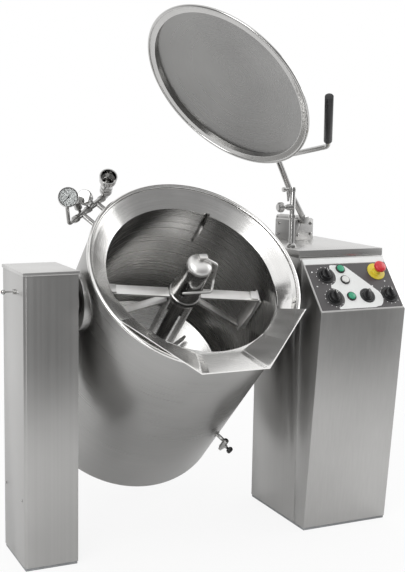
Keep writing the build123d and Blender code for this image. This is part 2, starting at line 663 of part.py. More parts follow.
ring_in, ring_out = BOWL_R + BOWL_WALL + 0.2, CASING_R - 3
with BuildPart() as trunnion_ring:
    # channel section ring between the bowl and the casing, at the trunnions
    for top in (-RIM_RISE + RING_HALF, -RIM_RISE - RING_HALF + 5):
        turned(rim, [(ring_in, top), (ring_out, top), (ring_out, top - 5), (ring_in, top - 5)])
    turned(
        rim,
        [(ring_out - 6, -RIM_RISE + RING_HALF), (ring_out, -RIM_RISE + RING_HALF),
         (ring_out, -RIM_RISE - RING_HALF), (ring_out - 6, -RIM_RISE - RING_HALF)],
    )
pieces["trunnion_ring"] = trunnion_ring

with BuildPart() as kettle_casing:
    turned(
        rim,
        [(CASING_R - 2.5, -14.2), (CASING_R, -14.2), (CASING_R, -CASING_LENGTH),
         (CASING_R - 2.5, -CASING_LENGTH)],
    )
pieces["kettle_casing"] = kettle_casing

with BuildPart() as kettle_bottom:
    rod(rim.offset(-CASING_LENGTH + 1), CASING_R - 2.8, 3)
    turned(rim, [(CASING_R - 5.8, -CASING_LENGTH + 3.9), (CASING_R - 2.8, -CASING_LENGTH + 3.9),
                 (CASING_R - 2.8, -CASING_LENGTH + 22), (CASING_R - 5.8, -CASING_LENGTH + 22)])
    # vent slots round the bottom cover
    with BuildSketch(rim.offset(-CASING_LENGTH)) as vents:
        with PolarLocations(250, 12):
            SlotOverall(60, 10, rotation=90)
    extrude(vents.sketch, amount=6, mode=Mode.SUBTRACT)
    with BuildSketch(rim.offset(-CASING_LENGTH + 1)) as screws:
        with PolarLocations(318, 8):
            Circle(5)
    extrude(screws.sketch, amount=-2)
pieces["kettle_bottom"] = kettle_bottom

with BuildPart() as trunnions:
    for side in (-1, 1):
        rod(local_plane(rim, (side * (CASING_R - 13), 0, -RIM_RISE), (side, 0, 0), (0, 1, 0)), FLANGE_R, 27)
    rod(rim.offset(-RIM_RISE - 100), CASING_R + 0.1, 200, Mode.SUBTRACT)
    for side in (-1, 1):
        seat = local_plane(rim, (side * (CASING_R + 12), 0, -RIM_RISE), (side, 0, 0), (0, 1, 0))
        rod(seat, TRUNNION_R, TRUNNION_END - CASING_R - 12)
        rod(seat, TRUNNION_R + 9, 14)
pieces["trunnions"] = trunnions

drive_top = TUBE_FOOT - 2
motor_z = -CASING_LENGTH + 61
with BuildPart() as mixer_gearmotor:
    turned(
        rim,
        [(SHAFT_R + RUNNING, drive_top), (90, drive_top), (90, drive_top - 16), (78, drive_top - 16),
         (78, -CASING_LENGTH + 24), (SHAFT_R + RUNNING, -CASING_LENGTH + 24)],
    )
    rod(local_plane(rim, (70, 0, motor_z), (1, 0, 0), (0, 1, 0)), 40, 200)
    rod(local_plane(rim, (240, 0, motor_z), (1, 0, 0), (0, 1, 0)), 44, 26)
    # four feet down to the bottom cover
    with BuildSketch(rim.offset(-CASING_LENGTH + 4)) as feet:
        with PolarLocations(60, 4):
            Circle(9)
    extrude(feet.sketch, amount=24)
pieces["mixer_gearmotor"] = mixer_gearmotor

# ---------------------------------------------------------------- fittings on the kettle
VALVE_AZIMUTH = 127.4
PIPE_RADIUS = 374.0       # manifold pipe from the kettle's axis
PIPE_DEPTH = 29.0         # and under the rim plane
azimuth = radians(VALVE_AZIMUTH)
# The manifold's plane: x along the pipe, y outwards, z along the kettle's axis.
manifold_at = local_plane(
    rim, (PIPE_RADIUS * cos(azimuth), PIPE_RADIUS * sin(azimuth), -PIPE_DEPTH), (0, 0, 1),
    (-sin(azimuth), cos(azimuth), 0),
)
# x of this plane runs to rising azimuth; its y then points inwards, so outwards is -y.

gauge_face = (-0.2, -0.5, 0.842)
gauge_at = local_plane(rim, (-380, 206, 96), gauge_face, (0.98, -0.1, 0.174))
with BuildPart() as gauge_pipe:
    # from the manifold's end up to the back of the gauge
    start = manifold_at.origin + manifold_at.x_dir * 130
    corner = manifold_at.origin + manifold_at.x_dir * 152
    tail = gauge_at.origin + gauge_at.z_dir * -36.2
    below = tail + gauge_at.z_dir * -16
    with BuildLine() as route:
        FilletPolyline(start, corner, below, tail, radius=9)
    with BuildSketch(Plane(origin=start, z_dir=manifold_at.x_dir)) as section:
        Circle(5.5)
    sweep(section.sketch, path=route.line)


with BuildPart() as valve_manifold:
    rod(local_plane(manifold_at, (-14, 0, 0), (1, 0, 0), (0, 1, 0)), 9, 144)
    for x in (-14, 52, 112):
        with BuildSketch(local_plane(manifold_at, (x, 0, 0), (1, 0, 0), (0, 1, 0))) as nut:
            RegularPolygon(12, 6)
        extrude(nut.sketch, amount=14)
    for x in (20, 90):
        rod(local_plane(manifold_at, (x, 0, 0), (0, 1, 0), (1, 0, 0)), 8, 60)
    rod(rim.offset(-120), CASING_R + 0.1, 140, Mode.SUBTRACT)
    add(gauge_pipe.part)
pieces["valve_manifold"] = valve_manifold

with BuildPart() as vent_cup:
    lean = (0.26, 0, 0.966)
    foot = local_plane(manifold_at, (-24, 0, 0), lean, (0.966, 0, -0.26))
    turned(
        foot,
        [(0, 0), (10, 0), (10, 26), (19, 30), (19, 44), (17, 46), (19, 48), (19, 62), (17, 64), (19, 66),
         (19, 84), (26, 96), (27, 118), (24, 118), (23, 98), (15, 88), (15, 40), (0, 40)],
    )
    add(valve_manifold.part, mode=Mode.SUBTRACT)
pieces["vent_cup"] = vent_cup

valve_dir = (0.60, 0, 0.80)
valve_foot = local_plane(manifold_at, (40, -4, 0), valve_dir, (0.80, 0, -0.60))
with BuildPart() as kettle_valves:
    # safety valve
    rod(local_plane(valve_foot, (0, 0, 9.3)), 8, 70)
    with BuildSketch(local_plane(valve_foot, (0, 0, 26))) as nut:
        RegularPolygon(14, 6)
    extrude(nut.sketch, amount=16)
    rod(local_plane(valve_foot, (0, 0, 52)), 12, 27)
    rod(local_plane(valve_foot, (0, 0, 60), (0, -1, 0), (1, 0, 0)), 7, 26)
    # white handled test cock beside it
    seat = local_plane(manifold_at, (88, -9.3, 0), (0.2, -0.49, 0.849), (0.98, 0.1, -0.17))
    rod(seat, 5.5, 18)
    rod(local_plane(seat, (0, 0, 16)), 12, 24)
    rod(local_plane(seat, (0, 0, 40)), 12.5, 4)
    add(valve_manifold.part, mode=Mode.SUBTRACT)
pieces["kettle_valves"] = kettle_valves

with BuildPart() as safety_valve_knob:
    seat = local_plane(valve_foot, (0, 0, 79.3))
    turned(seat, [(0, 0), (9, 0), (9, 8), (20, 10), (22, 14), (22, 36), (19, 40), (0, 41)])
    with BuildSketch(local_plane(seat, (0, 0, 9))) as flutes:
        with PolarLocations(23.4, 16):
            Circle(2.2)
    extrude(flutes.sketch, amount=34, mode=Mode.SUBTRACT)
pieces["safety_valve_knob"] = safety_valve_knob

with BuildPart() as pressure_gauge:
    turned(gauge_at, [(0, -22), (26, -22), (29, -18), (29, 3), (26, 3), (26, 0), (0, 0)])
    rod(local_plane(gauge_at, (0, 0, -22)), 8, -14)
pieces["pressure_gauge"] = pressure_gauge

COCK_AZIMUTH = -56.3
COCK_DEPTH = CASING_LENGTH - 227.0
around = radians(COCK_AZIMUTH)
cock_out = (cos(around), sin(around), 0)
with BuildPart() as level_cock:
    stand_off = CASING_R + 0.2
    root = local_plane(
        rim, (stand_off * cos(around), stand_off * sin(around), -COCK_DEPTH), cock_out, (0, 0, 1),
    )
    rod(root, 12, 3)
    rod(root, 6.5, 44)
    rod(local_plane(root, (8, 0, 38), (-1, 0, 0), (0, 1, 0)), 9.5, 44)
    rod(local_plane(root, (-36, 0, 38), (-1, 0, 0), (0, 1, 0)), 6.5, 14)
    rod(local_plane(root, (-18, 0, 38)), 6.5, 14)
pieces["level_cock"] = level_cock

with BuildPart() as level_cock_knob:
    seat = local_plane(root, (-18, 0, 52 + GAP))
    rod(seat, 4.5, 8)
    turned(local_plane(seat, (0, 0, 6)), [(0, 0), (8, 0), (10.5, 3), (10.5, 12), (8, 15), (0, 16)])
    block(local_plane(seat, (0, 0, 10)), 30, 8, 8)
pieces["level_cock_knob"] = level_cock_knob

with BuildPart() as probe_strip:
    # flat temperature probe on the back wall of the bowl
    place = radians(PROBE_AZIMUTH)
    seat = local_plane(
        rim, (BOWL_R * cos(place), BOWL_R * sin(place), PROBE_FOOT), (0, 0, 1), (-sin(place), cos(place), 0),
    )
    block(seat, 16, 6, PROBE_LENGTH)
    rod(rim.offset(PROBE_FOOT - 5), BOWL_R - 0.2, PROBE_LENGTH + 10, Mode.INTERSECT)
pieces["probe_strip"] = probe_strip

# ================================================================ mixer
with BuildPart() as mixer_shaft:
    rod(rim.offset(-CASING_LENGTH + 40), SHAFT_R, CASING_LENGTH - 40 - BOWL_DEPTH + 66)
    rod(rim.offset(-BOWL_DEPTH + 64), CORE_R, BOWL_DEPTH - 64 + HEAD_TOP - 8)
pieces["mixer_shaft"] = mixer_shaft

head_wall = 4.0
with BuildPart() as mixer_head:
    turned(
        rim,
        [(HEAD_FOOT_R - head_wall, HEAD_FOOT), (HEAD_FOOT_R, HEAD_FOOT), (HEAD_R, HEAD_TOP - 30),
         (HEAD_R, HEAD_TOP),
         (CORE_R + 0.2, HEAD_TOP), (CORE_R + 0.2, HEAD_TOP - 6), (HEAD_R - head_wall, HEAD_TOP - 6),
         (HEAD_R - head_wall, HEAD_TOP - 30)],
    )
    # windows round the head
    for k in range(4):
        angle = radians(45 + 90 * k)
        outward = (cos(angle), sin(angle), 0)
        window = local_plane(rim, (25 * cos(angle), 25 * sin(angle), -62), outward, (0, 0, 1))
        with BuildSketch(window) as slot:
            SlotOverall(62, 18)
        extrude(slot.sketch, amount=40, mode=Mode.SUBTRACT)
pieces["mixer_head"] = mixer_head

with BuildPart() as mixer_cap:
    cap_floor = HEAD_TOP + 0.2
    turned(
        rim,
        [(0, cap_floor), (HEAD_R, cap_floor), (HEAD_R, cap_floor + 4), (HEAD_R - 3, cap_floor + 12),
         (HEAD_R - 9, cap_floor + 18), (HEAD_R / 2, cap_floor + 22), (0, cap_floor + 24)],
    )
pieces["mixer_cap"] = mixer_cap

with BuildPart() as mixer_latch:
    # square eye on the cap and a bent clamp bar down the head's side
    eye = local_plane(rim, (6, 12, cap_floor + 22.5))
    block(eye, 26, 16, 14)
    block(local_plane(eye, (0, -10, 5), (0, 1, 0), (1, 0, 0)), 14, 5, 20, Mode.SUBTRACT)
    rod(rim.offset(cap_floor - 10), 200, 34.5, Mode.SUBTRACT)
    points = [
        (16, 4, cap_floor + 31), (52, -6, cap_floor + 16), (60, -16, -30), (48, -51, -47), (-46, -51, -47),
    ]
    points = [rim.origin + rim.x_dir * x + rim.y_dir * y + rim.z_dir * z for x, y, z in points]
    with BuildLine() as route:
        FilletPolyline(*points, radius=11)
    with BuildSketch(Plane(origin=points[0], z_dir=points[1] - points[0])) as section:
        Circle(4.2)
    sweep(section.sketch, path=route.line)
pieces["mixer_latch"] = mixer_latch

arm_turn = -6.6
mixer_turn = local_plane(rim, (0, 0, 0), (0, 0, 1), (cos(radians(arm_turn)), sin(radians(arm_turn)), 0))
arm_plane = mixer_turn.offset(ARM_H)
with BuildPart() as mixer_rails:
    # collar under the head, two flat rails beside the shaft, and a foot ring
    collar_low = HEAD_FOOT - 22
    turned(
        rim,
        [(CORE_R + 0.2, collar_low), (HEAD_FOOT_R + 2, collar_low), (HEAD_FOOT_R + 3, HEAD_FOOT - 2),
         (HEAD_FOOT_R + 1, HEAD_FOOT - 0.2), (HEAD_FOOT_R - 8, HEAD_FOOT - 0.2),
         (HEAD_FOOT_R - 8, HEAD_FOOT - 8), (CORE_R + 0.2, HEAD_FOOT - 8)],
    )
    rail_low = TUBE_TOP + 14
    for side in (-1, 1):
        block(local_plane(mixer_turn, (side * 42, 0, rail_low)), 8, 24, collar_low - rail_low + 1)
    turned(
        rim,
        [(CORE_R + 0.2, rail_low), (50, rail_low), (50, rail_low + 20), (CORE_R + 0.2, rail_low + 20)],
    )
    # three low arms that follow the dished bottom
    for k in range(3):
        angle = radians(30 + 120 * k)
        direction = (cos(angle), sin(angle), 0)
        start = local_plane(rim, (48 * cos(angle), 48 * sin(angle), rail_low + 10), direction, (0, 0, 1))
        block(start, 12, 8, 162)
        block(local_plane(start, (-12, 0, 72)), 20, 6, 90)
pieces["mixer_rails"] = mixer_rails

arm_start = HEAD_FOOT_R + 3.2
blade_in = ARM_R - 6.2
with BuildPart() as mixer_arms:
    for side in (-1, 1):
        block(local_plane(arm_plane, (side * (arm_start + blade_in) / 2, 0, -5)), blade_in - arm_start, 34, 8)
    # braces from the rails down to each blade's foot
    for side in (-1, 1):
        rise, run = ARM_H - 30 - BLADE_FOOT - 24, ARM_R - 14 - 48.6
        length = hypot(rise, run)
        slope = local_plane(
            arm_plane, (side * 48.6, 0, -30), (side * run / length, 0, -rise / length), (0, 1, 0)
        )
        block(slope, 26, 8, length)
pieces["mixer_arms"] = mixer_arms

with BuildPart() as mixer_blades:
    for side in (-1, 1):
        face = local_plane(arm_plane, (side * (ARM_R - 6), 0, 0), (side, 0, 0), (0, side, 0))
        blade_low = BLADE_FOOT - ARM_H
        with BuildSketch(face) as plate:
            with BuildLine():
                Polyline((-20, 9.2), (20, 9.2), (26, -60), (30, blade_low), (-14, blade_low), (-26, -60),
                         close=True)
            make_face()
        extrude(plate.sketch, amount=6)
    for side in (-1, 1):
        block(local_plane(arm_plane, (side * (ARM_R - 15), 0, 3.2)), 24, 30, 6)
    rod(rim.offset(-BOWL_DEPTH), BOWL_R - 9, BOWL_DEPTH, Mode.INTERSECT)
pieces["mixer_blades"] = mixer_blades

with BuildPart() as mixer_scrapers:
    for side in (-1, 1):
        block(
            local_plane(arm_plane, (side * (ARM_R + 9), side * -4, BLADE_FOOT - ARM_H + 6)), 17.6, 8,
            ARM_H - BLADE_FOOT - 24,
        )
    rod(rim.offset(-BOWL_DEPTH), BOWL_R - 3.6, BOWL_DEPTH, Mode.INTERSECT)
pieces["mixer_scrapers"] = mixer_scrapers

# ================================================================ lid
lid_profile = Plane(origin=lid_middle.origin, x_dir=lid_middle.x_dir, z_dir=lid_middle.y_dir * -1)
lid_axis = Axis(lid_middle.origin, lid_middle.z_dir)
with BuildPart() as lid_rim:
    with BuildSketch(lid_profile) as bead:
        with Locations((LID_R - LID_BEAD, 0)):
            Circle(LID_BEAD)
    revolve(bead.sketch, axis=lid_axis)
    turned(
        lid_middle,
        [(LID_R - 9, -1.2), (LID_R - 9, 1.2), (LID_R - 24, 2.4), (LID_R - 24, 18), (LID_R - 27, 18),
         (LID_R - 27, -1.2)],
    )
pieces["lid_rim"] = lid_rim

crown_r = LID_R - 24


def dome_face(lift):
    """Half section of the lid's dome, between its underside and a lift above it."""
    with BuildSketch(lid_profile) as half:
        with BuildLine():
            Line((0, 0), (0, LID_CROWN + lift))
            TangentArc((0, LID_CROWN + lift), (crown_r, LID_STEP + lift), tangent=(1, 0))
            Line((crown_r, LID_STEP + lift), (crown_r, 0))
            Line((crown_r, 0), (0, 0))
        make_face()
    return half.sketch


arm_height = 12.0
arm_points = [
    (0, -LID_ARM_SIDE, 0), (110, -LID_ARM_SIDE + 1, 1), (262, -26, arm_height - 1),
    (HINGE_REACH + 20, 0, arm_height),
]


def lid_point(u, front, up):
    return lid.origin + lid.x_dir * u + lid.y_dir * front + lid.z_dir * up


with BuildPart() as lid_arm:
    route_points = [lid_point(*p) for p in arm_points]
    with BuildLine() as route:
        FilletPolyline(*route_points, radius=120)
    with BuildSketch(Plane(origin=route_points[0], z_dir=route_points[1] - route_points[0])) as section:
        Circle(LID_ARM_R)
    sweep(section.sketch, path=route.line)
pieces["lid_arm"] = lid_arm

pad_low = -LID_DROP + LID_CROWN + 2.1
PAD_R = 55.0
pad_low = -LID_DROP + LID_CROWN
with BuildPart() as lid_panel:
    # dished panel with a bolted pad on its crown for the arm
    seat = local_plane(lid, (HINGE_REACH, 0, pad_low))
    rod(seat, PAD_R, arm_height - pad_low)
    for k in range(4):
        angle = radians(45 + 90 * k)
        rod(local_plane(seat, (40 * cos(angle), 40 * sin(angle), arm_height - pad_low - 1)), 6, 5)
    revolve(dome_face(SHEET), axis=lid_axis)
    revolve(dome_face(0), axis=lid_axis, mode=Mode.SUBTRACT)
    add(lid_arm.part, mode=Mode.SUBTRACT)
pieces["lid_panel"] = lid_panel

with BuildPart() as lid_hinge_pin:
    # hub on the arm's end, pin through the block and a collar behind it
    rod(local_plane(lid, (0, -BLOCK_FRONT + 2, 0), (0, 1, 0), (1, 0, 0)), 16, 22)
    add(lid_arm.part, mode=Mode.SUBTRACT)
    pin_start = local_plane(lid, (0, -BLOCK_FRONT + 2, 0), (0, -1, 0), (1, 0, 0))
    rod(pin_start, HINGE_PIN_R, BLOCK_BACK - BLOCK_FRONT + 14)
    rod(local_plane(lid, (0, -BLOCK_BACK - 2, 0), (0, -1, 0), (1, 0, 0)), 11, 10)
pieces["lid_hinge_pin"] = lid_hinge_pin

handle_points = [
    lid_point(u, front, arm_height - 2) for u, front in ((270, -16), (322, 217), (509, 311))
]
with BuildPart() as lid_handle:
    with BuildLine() as route:
        FilletPolyline(*handle_points, radius=22)
    with BuildSketch(Plane(origin=handle_points[0], z_dir=handle_points[1] - handle_points[0])) as section:
        Circle(HANDLE_R)
    sweep(section.sketch, path=route.line)
    add(lid_arm.part, mode=Mode.SUBTRACT)
pieces["lid_handle"] = lid_handle

with BuildPart() as lid_grip:
    along = (handle_points[2] - handle_points[1]).normalized()
    seat = Plane(origin=handle_points[1] + along * 24, z_dir=along)
    grip_length = (handle_points[2] - handle_points[1]).length - 24
    rod(seat, GRIP_R, grip_length + 6)
    rod(seat.offset(-1), HANDLE_R + 0.1, grip_length + 1.2, Mode.SUBTRACT)
pieces["lid_grip"] = lid_grip

# ================================================================ export
os.makedirs("parts", exist_ok=True)
for name, piece in pieces.items():
    piece.part.label = name
    export_step(piece.part, f"parts/{name}.step")
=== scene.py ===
from math import atan2, cos, degrees, hypot, pi, radians, sin

import bpy
from mathutils import Matrix, Vector


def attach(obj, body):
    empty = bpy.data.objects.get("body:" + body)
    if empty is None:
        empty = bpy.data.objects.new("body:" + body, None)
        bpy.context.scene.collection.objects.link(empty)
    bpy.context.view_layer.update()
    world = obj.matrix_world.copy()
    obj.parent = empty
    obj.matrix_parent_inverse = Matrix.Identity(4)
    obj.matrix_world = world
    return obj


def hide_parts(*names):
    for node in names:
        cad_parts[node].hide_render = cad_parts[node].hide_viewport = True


bl_info = {
    "name": "Steam Kettle Maker",
    "version": (1, 0, 0),
    "blender": (4, 5, 0),
    "location": "3D View > Sidebar > Kettle",
    "description": "Makes the visible pieces, finishes and stage of a tilting steam jacketed kettle",
    "category": "Object",
}

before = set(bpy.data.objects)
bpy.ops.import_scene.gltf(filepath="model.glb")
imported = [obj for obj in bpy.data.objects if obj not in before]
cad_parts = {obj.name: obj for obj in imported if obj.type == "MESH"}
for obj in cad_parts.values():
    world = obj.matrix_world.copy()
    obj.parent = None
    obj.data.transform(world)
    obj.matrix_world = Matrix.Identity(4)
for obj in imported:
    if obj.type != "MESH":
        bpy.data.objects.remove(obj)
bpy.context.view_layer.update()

# ------------------------------------------------------------ places, in millimetres from the floor frame
MM = 0.001
KETTLE_X, TRUNNION_Y, TRUNNION_Z = -56.5, -164.75, 763.0
TILT = radians(47.06)
RIM_RISE = 139.2
BOWL_R, RIM_R, CASING_R = 270.0, 338.0, 335.0
BOWL_DEPTH, BOWL_SIDE, CASING_LENGTH = 640.0, 560.0, 787.0
HINGE_TURN, LID_OPEN = radians(19.1), radians(51.0)
HINGE_REACH, HINGE_Z, LID_DROP = 610.5, 973.0, 68.0
LID_R, LID_STEP, LID_CROWN = 301.4, 18.2, 62.0
PANEL_SLOPE = atan2(154.0, 134.0)
OVERLAY_TOP = 2.8
HEAD_R, HEAD_TOP = 40.0, 16.0
LIP_START, LIP_END = 209.75, -29.75  # degrees round the rim
LEDGE_R, LEDGE_TOP, LEDGE_TOP_R = 322.0, -10.0, 326.0
LEDGE_FALL, LEDGE_RUN, LEDGE_FOOT, LEDGE_SHEET, LEDGE_FADE = 34, 56, -46.0, 3, 25


def place(origin, across, normal):
    """The matrix of a place: its origin in millimetres, its x and its z."""
    x, z = Vector(across).normalized(), Vector(normal).normalized()
    turned = Matrix((x, z.cross(x), z)).transposed().to_4x4()
    return Matrix.Translation(Vector(origin) * MM) @ turned


def inside(base, point, normal=(0, 0, 1), across=(1, 0, 0)):
    """A place given in another place's own axes."""
    return base @ place(point, across, normal)


KETTLE = place(
    (KETTLE_X, TRUNNION_Y - RIM_RISE * sin(TILT), TRUNNION_Z + RIM_RISE * cos(TILT)),
    (1, 0, 0), (0, -sin(TILT), cos(TILT)),
)
out = Vector((cos(HINGE_TURN), sin(HINGE_TURN), 0))
LID_HINGE = place(
    (KETTLE_X + HINGE_REACH * out.x, TRUNNION_Y + HINGE_REACH * out.y, HINGE_Z),
    out * -cos(LID_OPEN) + Vector((0, 0, sin(LID_OPEN))),
    out * sin(LID_OPEN) + Vector((0, 0, cos(LID_OPEN))),
)
LID = inside(LID_HINGE, (HINGE_REACH, 0, -LID_DROP))
PANEL = place(
    (KETTLE_X + RIM_R + 37, TRUNNION_Y - 207, 721), (1, 0, 0), (0, -sin(PANEL_SLOPE), cos(PANEL_SLOPE)),
)
MANIFOLD_ANGLE = radians(127.4)
MANIFOLD = inside(
    KETTLE, (374 * cos(MANIFOLD_ANGLE), 374 * sin(MANIFOLD_ANGLE), -29), (0, 0, 1),
    (-sin(MANIFOLD_ANGLE), cos(MANIFOLD_ANGLE), 0),
)
GAUGE = inside(KETTLE, (-380, 206, 96), (-0.2, -0.5, 0.842), (0.98, -0.1, 0.174))
FLOOR = place((0, 0, 0), (1, 0, 0), (0, 0, 1))

KNOBS = {"knob_temperature": (64.0, 134.0), "knob_timer": (65.4, 51.0), "knob_speed": (273.0, 52.0)}
KNOB_BODIES = {
    "knob_temperature": "temperature_knob", "knob_timer": "timer_knob", "knob_speed": "speed_knob",
}
SELECTOR = (189.0, 53.0)
BUTTONS = {"button_start": (127.0, 157.0), "button_mix": (129.0, 53.0), "button_light": (129.0, 115.0)}
BUTTON_BODIES = {"button_start": "start_button", "button_mix": "mix_button", "button_light": "light_button"}
STOP = (257.0, 141.0)


# ------------------------------------------------------------ modelling by hand
def put_down():
    """Leaves edit mode and drops the selection."""
    if bpy.context.mode != "OBJECT":
        bpy.ops.object.mode_set(mode="OBJECT")
    bpy.ops.object.select_all(action="DESELECT")


def take(piece):
    """Selects one piece and makes it active."""
    put_down()
    piece.select_set(True)
    bpy.context.view_layer.objects.active = piece


def draw_line(name, points, close):
    """A new object whose edges run through the points, drawn by extruding one vertex."""
    put_down()
    bpy.ops.mesh.primitive_plane_add(size=0.001, location=(0, 0, 0))
    piece = bpy.context.object
    piece.name = piece.data.name = name
    bpy.ops.object.mode_set(mode="EDIT")
    bpy.ops.mesh.select_mode(type="VERT")
    bpy.ops.mesh.select_all(action="SELECT")
    bpy.ops.mesh.merge(type="CENTER")
    points = [Vector(p) * MM for p in points]
    bpy.ops.transform.translate(value=points[0])
    for a, b in zip(points, points[1:] + points[:1] if close else points[1:]):
        bpy.ops.mesh.extrude_vertices_move(TRANSFORM_OT_translate={"value": b - a})
    bpy.ops.mesh.select_all(action="SELECT")
    bpy.ops.mesh.remove_doubles(threshold=1e-7)
    return piece


def turn_outward():
    """Merges doubled points and turns all faces outward."""
    bpy.ops.mesh.select_all(action="SELECT")
    bpy.ops.mesh.remove_doubles(threshold=2e-6)
    bpy.ops.mesh.normals_make_consistent(inside=False)


def set_in(piece, where, smooth=35):
    """Puts the finished piece in its place, with the place in its mesh."""
    take(piece)
    piece.matrix_world = where
    bpy.ops.object.transform_apply(location=True, rotation=True, scale=True)
    bpy.ops.object.shade_smooth_by_angle(angle=radians(smooth))
    return piece


def lathe(name, where, outline, steps=96, smooth=35, close=True):
    """A turned piece from its (radius, height) outline."""
    piece = draw_line(name, [(r, 0, h) for r, h in outline], close)
    bpy.ops.mesh.select_all(action="SELECT")
    bpy.ops.mesh.spin(steps=steps, angle=2 * pi, center=(0, 0, 0), axis=(0, 0, 1))
    turn_outward()
    return set_in(piece, where, smooth)


def cut_plate(name, where, outline, thick, edge=0.0):
    """A plate from its flat outline, with its edges rounded off."""
    piece = draw_line(name, [(x, y, 0) for x, y in outline], True)
    bpy.ops.mesh.edge_face_add()
    bpy.ops.mesh.extrude_region_move(TRANSFORM_OT_translate={"value": (0, 0, thick * MM)})
    turn_outward()
    if edge:
        bpy.ops.mesh.bevel(offset=edge * MM, segments=2, affect="EDGES")
    return set_in(piece, where)


def ring_of(piece, count, step):
    """Repeats what is drawn so far, turned about the piece's own z axis."""
    take(piece)
    bpy.ops.object.mode_set(mode="EDIT")
    bpy.ops.mesh.select_all(action="SELECT")
    for _ in range(count - 1):
        bpy.ops.mesh.duplicate()
        bpy.ops.transform.rotate(value=step, orient_axis="Z", orient_type="GLOBAL", center_override=(0, 0, 0))
    put_down()
    return piece


def joined(name, parts):
    """Several objects made into one."""
    take(parts[0])
    for part in parts:
        part.select_set(True)
    bpy.ops.object.join()
    piece = bpy.context.object
    piece.name = piece.data.name = name
    return piece


def arc(x, y, radius, start, end, count):
    """Points of an arc, its angles in degrees."""
    return [
        (x + radius * cos(radians(start + (end - start) * k / count)),
         y + radius * sin(radians(start + (end - start) * k / count)))
        for k in range(count + 1)
    ]


def dish(radius_in, radius_out, low, high, count):
    """Points of a shallow dish that leaves radius_in level and rises to radius_out."""
    run, rise = radius_out - radius_in, high - low
    size = (run * run + rise * rise) / (2 * rise)
    end = degrees(atan2(run, size - rise)) if rise > 0 else degrees(atan2(run, -size + rise))
    return [
        (radius_in + abs(size) * sin(radians(end * k / count)),
         low + size - size * cos(radians(end * k / count)))
        for k in range(count + 1)
    ]


def fair(node, name, edge=0.0, smooth=32):
    """A sheet-metal copy of a solid: its facets are merged, its folds rounded and its curves smoothed."""
    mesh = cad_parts[node].data.copy()
    mesh.materials.clear()
    piece = bpy.data.objects.new(name, mesh)
    mesh.name = name
    bpy.context.scene.collection.objects.link(piece)
    take(piece)
    if mesh.has_custom_normals:
        bpy.ops.mesh.customdata_custom_splitnormals_clear()
    bpy.ops.object.mode_set(mode="EDIT")
    bpy.ops.mesh.select_all(action="SELECT")
    bpy.ops.mesh.remove_doubles(threshold=2e-6)
    bpy.ops.mesh.dissolve_limited(angle_limit=radians(0.2), delimit=set())
    bpy.ops.object.mode_set(mode="OBJECT")
    if edge:
        rounding = piece.modifiers.new("folds", "BEVEL")
        rounding.width = edge * MM
        rounding.segments = 2
        rounding.limit_method = "ANGLE"
        rounding.angle_limit = radians(38)
        rounding.use_clamp_overlap = True
        bpy.ops.object.modifier_apply(modifier=rounding.name)
    bpy.ops.object.shade_smooth_by_angle(angle=radians(smooth))
    return piece


def fit(piece, body, slot, finish, *nodes):
    """Mounts a finished piece: its body, its finish and the solids that it stands for."""
    piece.data.materials.clear()
    piece.data.materials.append(finish)
    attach(piece, body)
    for node in nodes:
        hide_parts(node)
    return piece


# ------------------------------------------------------------ finishes
def node_at(tree, kind, **settings):
    node = tree.nodes.new(kind)
    for key, value in settings.items():
        setattr(node, key, value)
    return node


def object_coords(tree, where):
    """Object coordinates measured from a place."""
    coords = node_at(tree, "ShaderNodeTexCoord")
    if where is None:
        return coords.outputs["Object"]
    back = where.inverted()
    mapping = node_at(tree, "ShaderNodeMapping", vector_type="POINT")
    mapping.inputs["Location"].default_value = back.to_translation()
    mapping.inputs["Rotation"].default_value = back.to_euler()
    tree.links.new(coords.outputs["Object"], mapping.inputs["Vector"])
    return mapping.outputs["Vector"]


def ring_coords(tree, vector, spread):
    """Coordinates whose x grows across turned rings and whose y and z run slowly along them."""
    split = node_at(tree, "ShaderNodeSeparateXYZ")
    tree.links.new(vector, split.inputs[0])
    flat = node_at(tree, "ShaderNodeCombineXYZ")
    tree.links.new(split.outputs[0], flat.inputs[0])
    tree.links.new(split.outputs[1], flat.inputs[1])
    length = node_at(tree, "ShaderNodeVectorMath", operation="LENGTH")
    tree.links.new(flat.outputs[0], length.inputs[0])
    total = node_at(tree, "ShaderNodeMath", operation="ADD")
    tree.links.new(length.outputs["Value"], total.inputs[0])
    tree.links.new(split.outputs[2], total.inputs[1])
    made = node_at(tree, "ShaderNodeCombineXYZ")
    tree.links.new(total.outputs[0], made.inputs[0])
    tree.links.new(split.outputs[0], made.inputs[1])
    tree.links.new(split.outputs[1], made.inputs[2])
    stretch = node_at(tree, "ShaderNodeMapping", vector_type="POINT")
    stretch.inputs["Scale"].default_value = spread
    tree.links.new(made.outputs[0], stretch.inputs["Vector"])
    return stretch.outputs["Vector"]


def ranged(tree, value, low, high, start=0.3, stop=0.7):
    """A value from start to stop, spread from low to high."""
    span = node_at(tree, "ShaderNodeMapRange")
    span.inputs["From Min"].default_value = start
    span.inputs["From Max"].default_value = stop
    span.inputs["To Min"].default_value = low
    span.inputs["To Max"].default_value = high
    tree.links.new(value, span.inputs["Value"])
    return span.outputs["Result"]


def shaded(tree, colour, factor):
    """A colour multiplied by a grey factor."""
    scale = node_at(tree, "ShaderNodeVectorMath", operation="SCALE")
    scale.inputs[0].default_value = tuple(colour)[:3]
    tree.links.new(factor, scale.inputs["Scale"])
    return scale.outputs[0]


def product(tree, a, b):
    times = node_at(tree, "ShaderNodeMath", operation="MULTIPLY")
    tree.links.new(a, times.inputs[0])
    tree.links.new(b, times.inputs[1])
    return times.outputs[0]


def fresh(name):
    """A new material with only its shader and output."""
    material = bpy.data.materials.new(name)
    material.use_nodes = True
    tree = material.node_tree
    return material, tree, tree.nodes["Principled BSDF"]


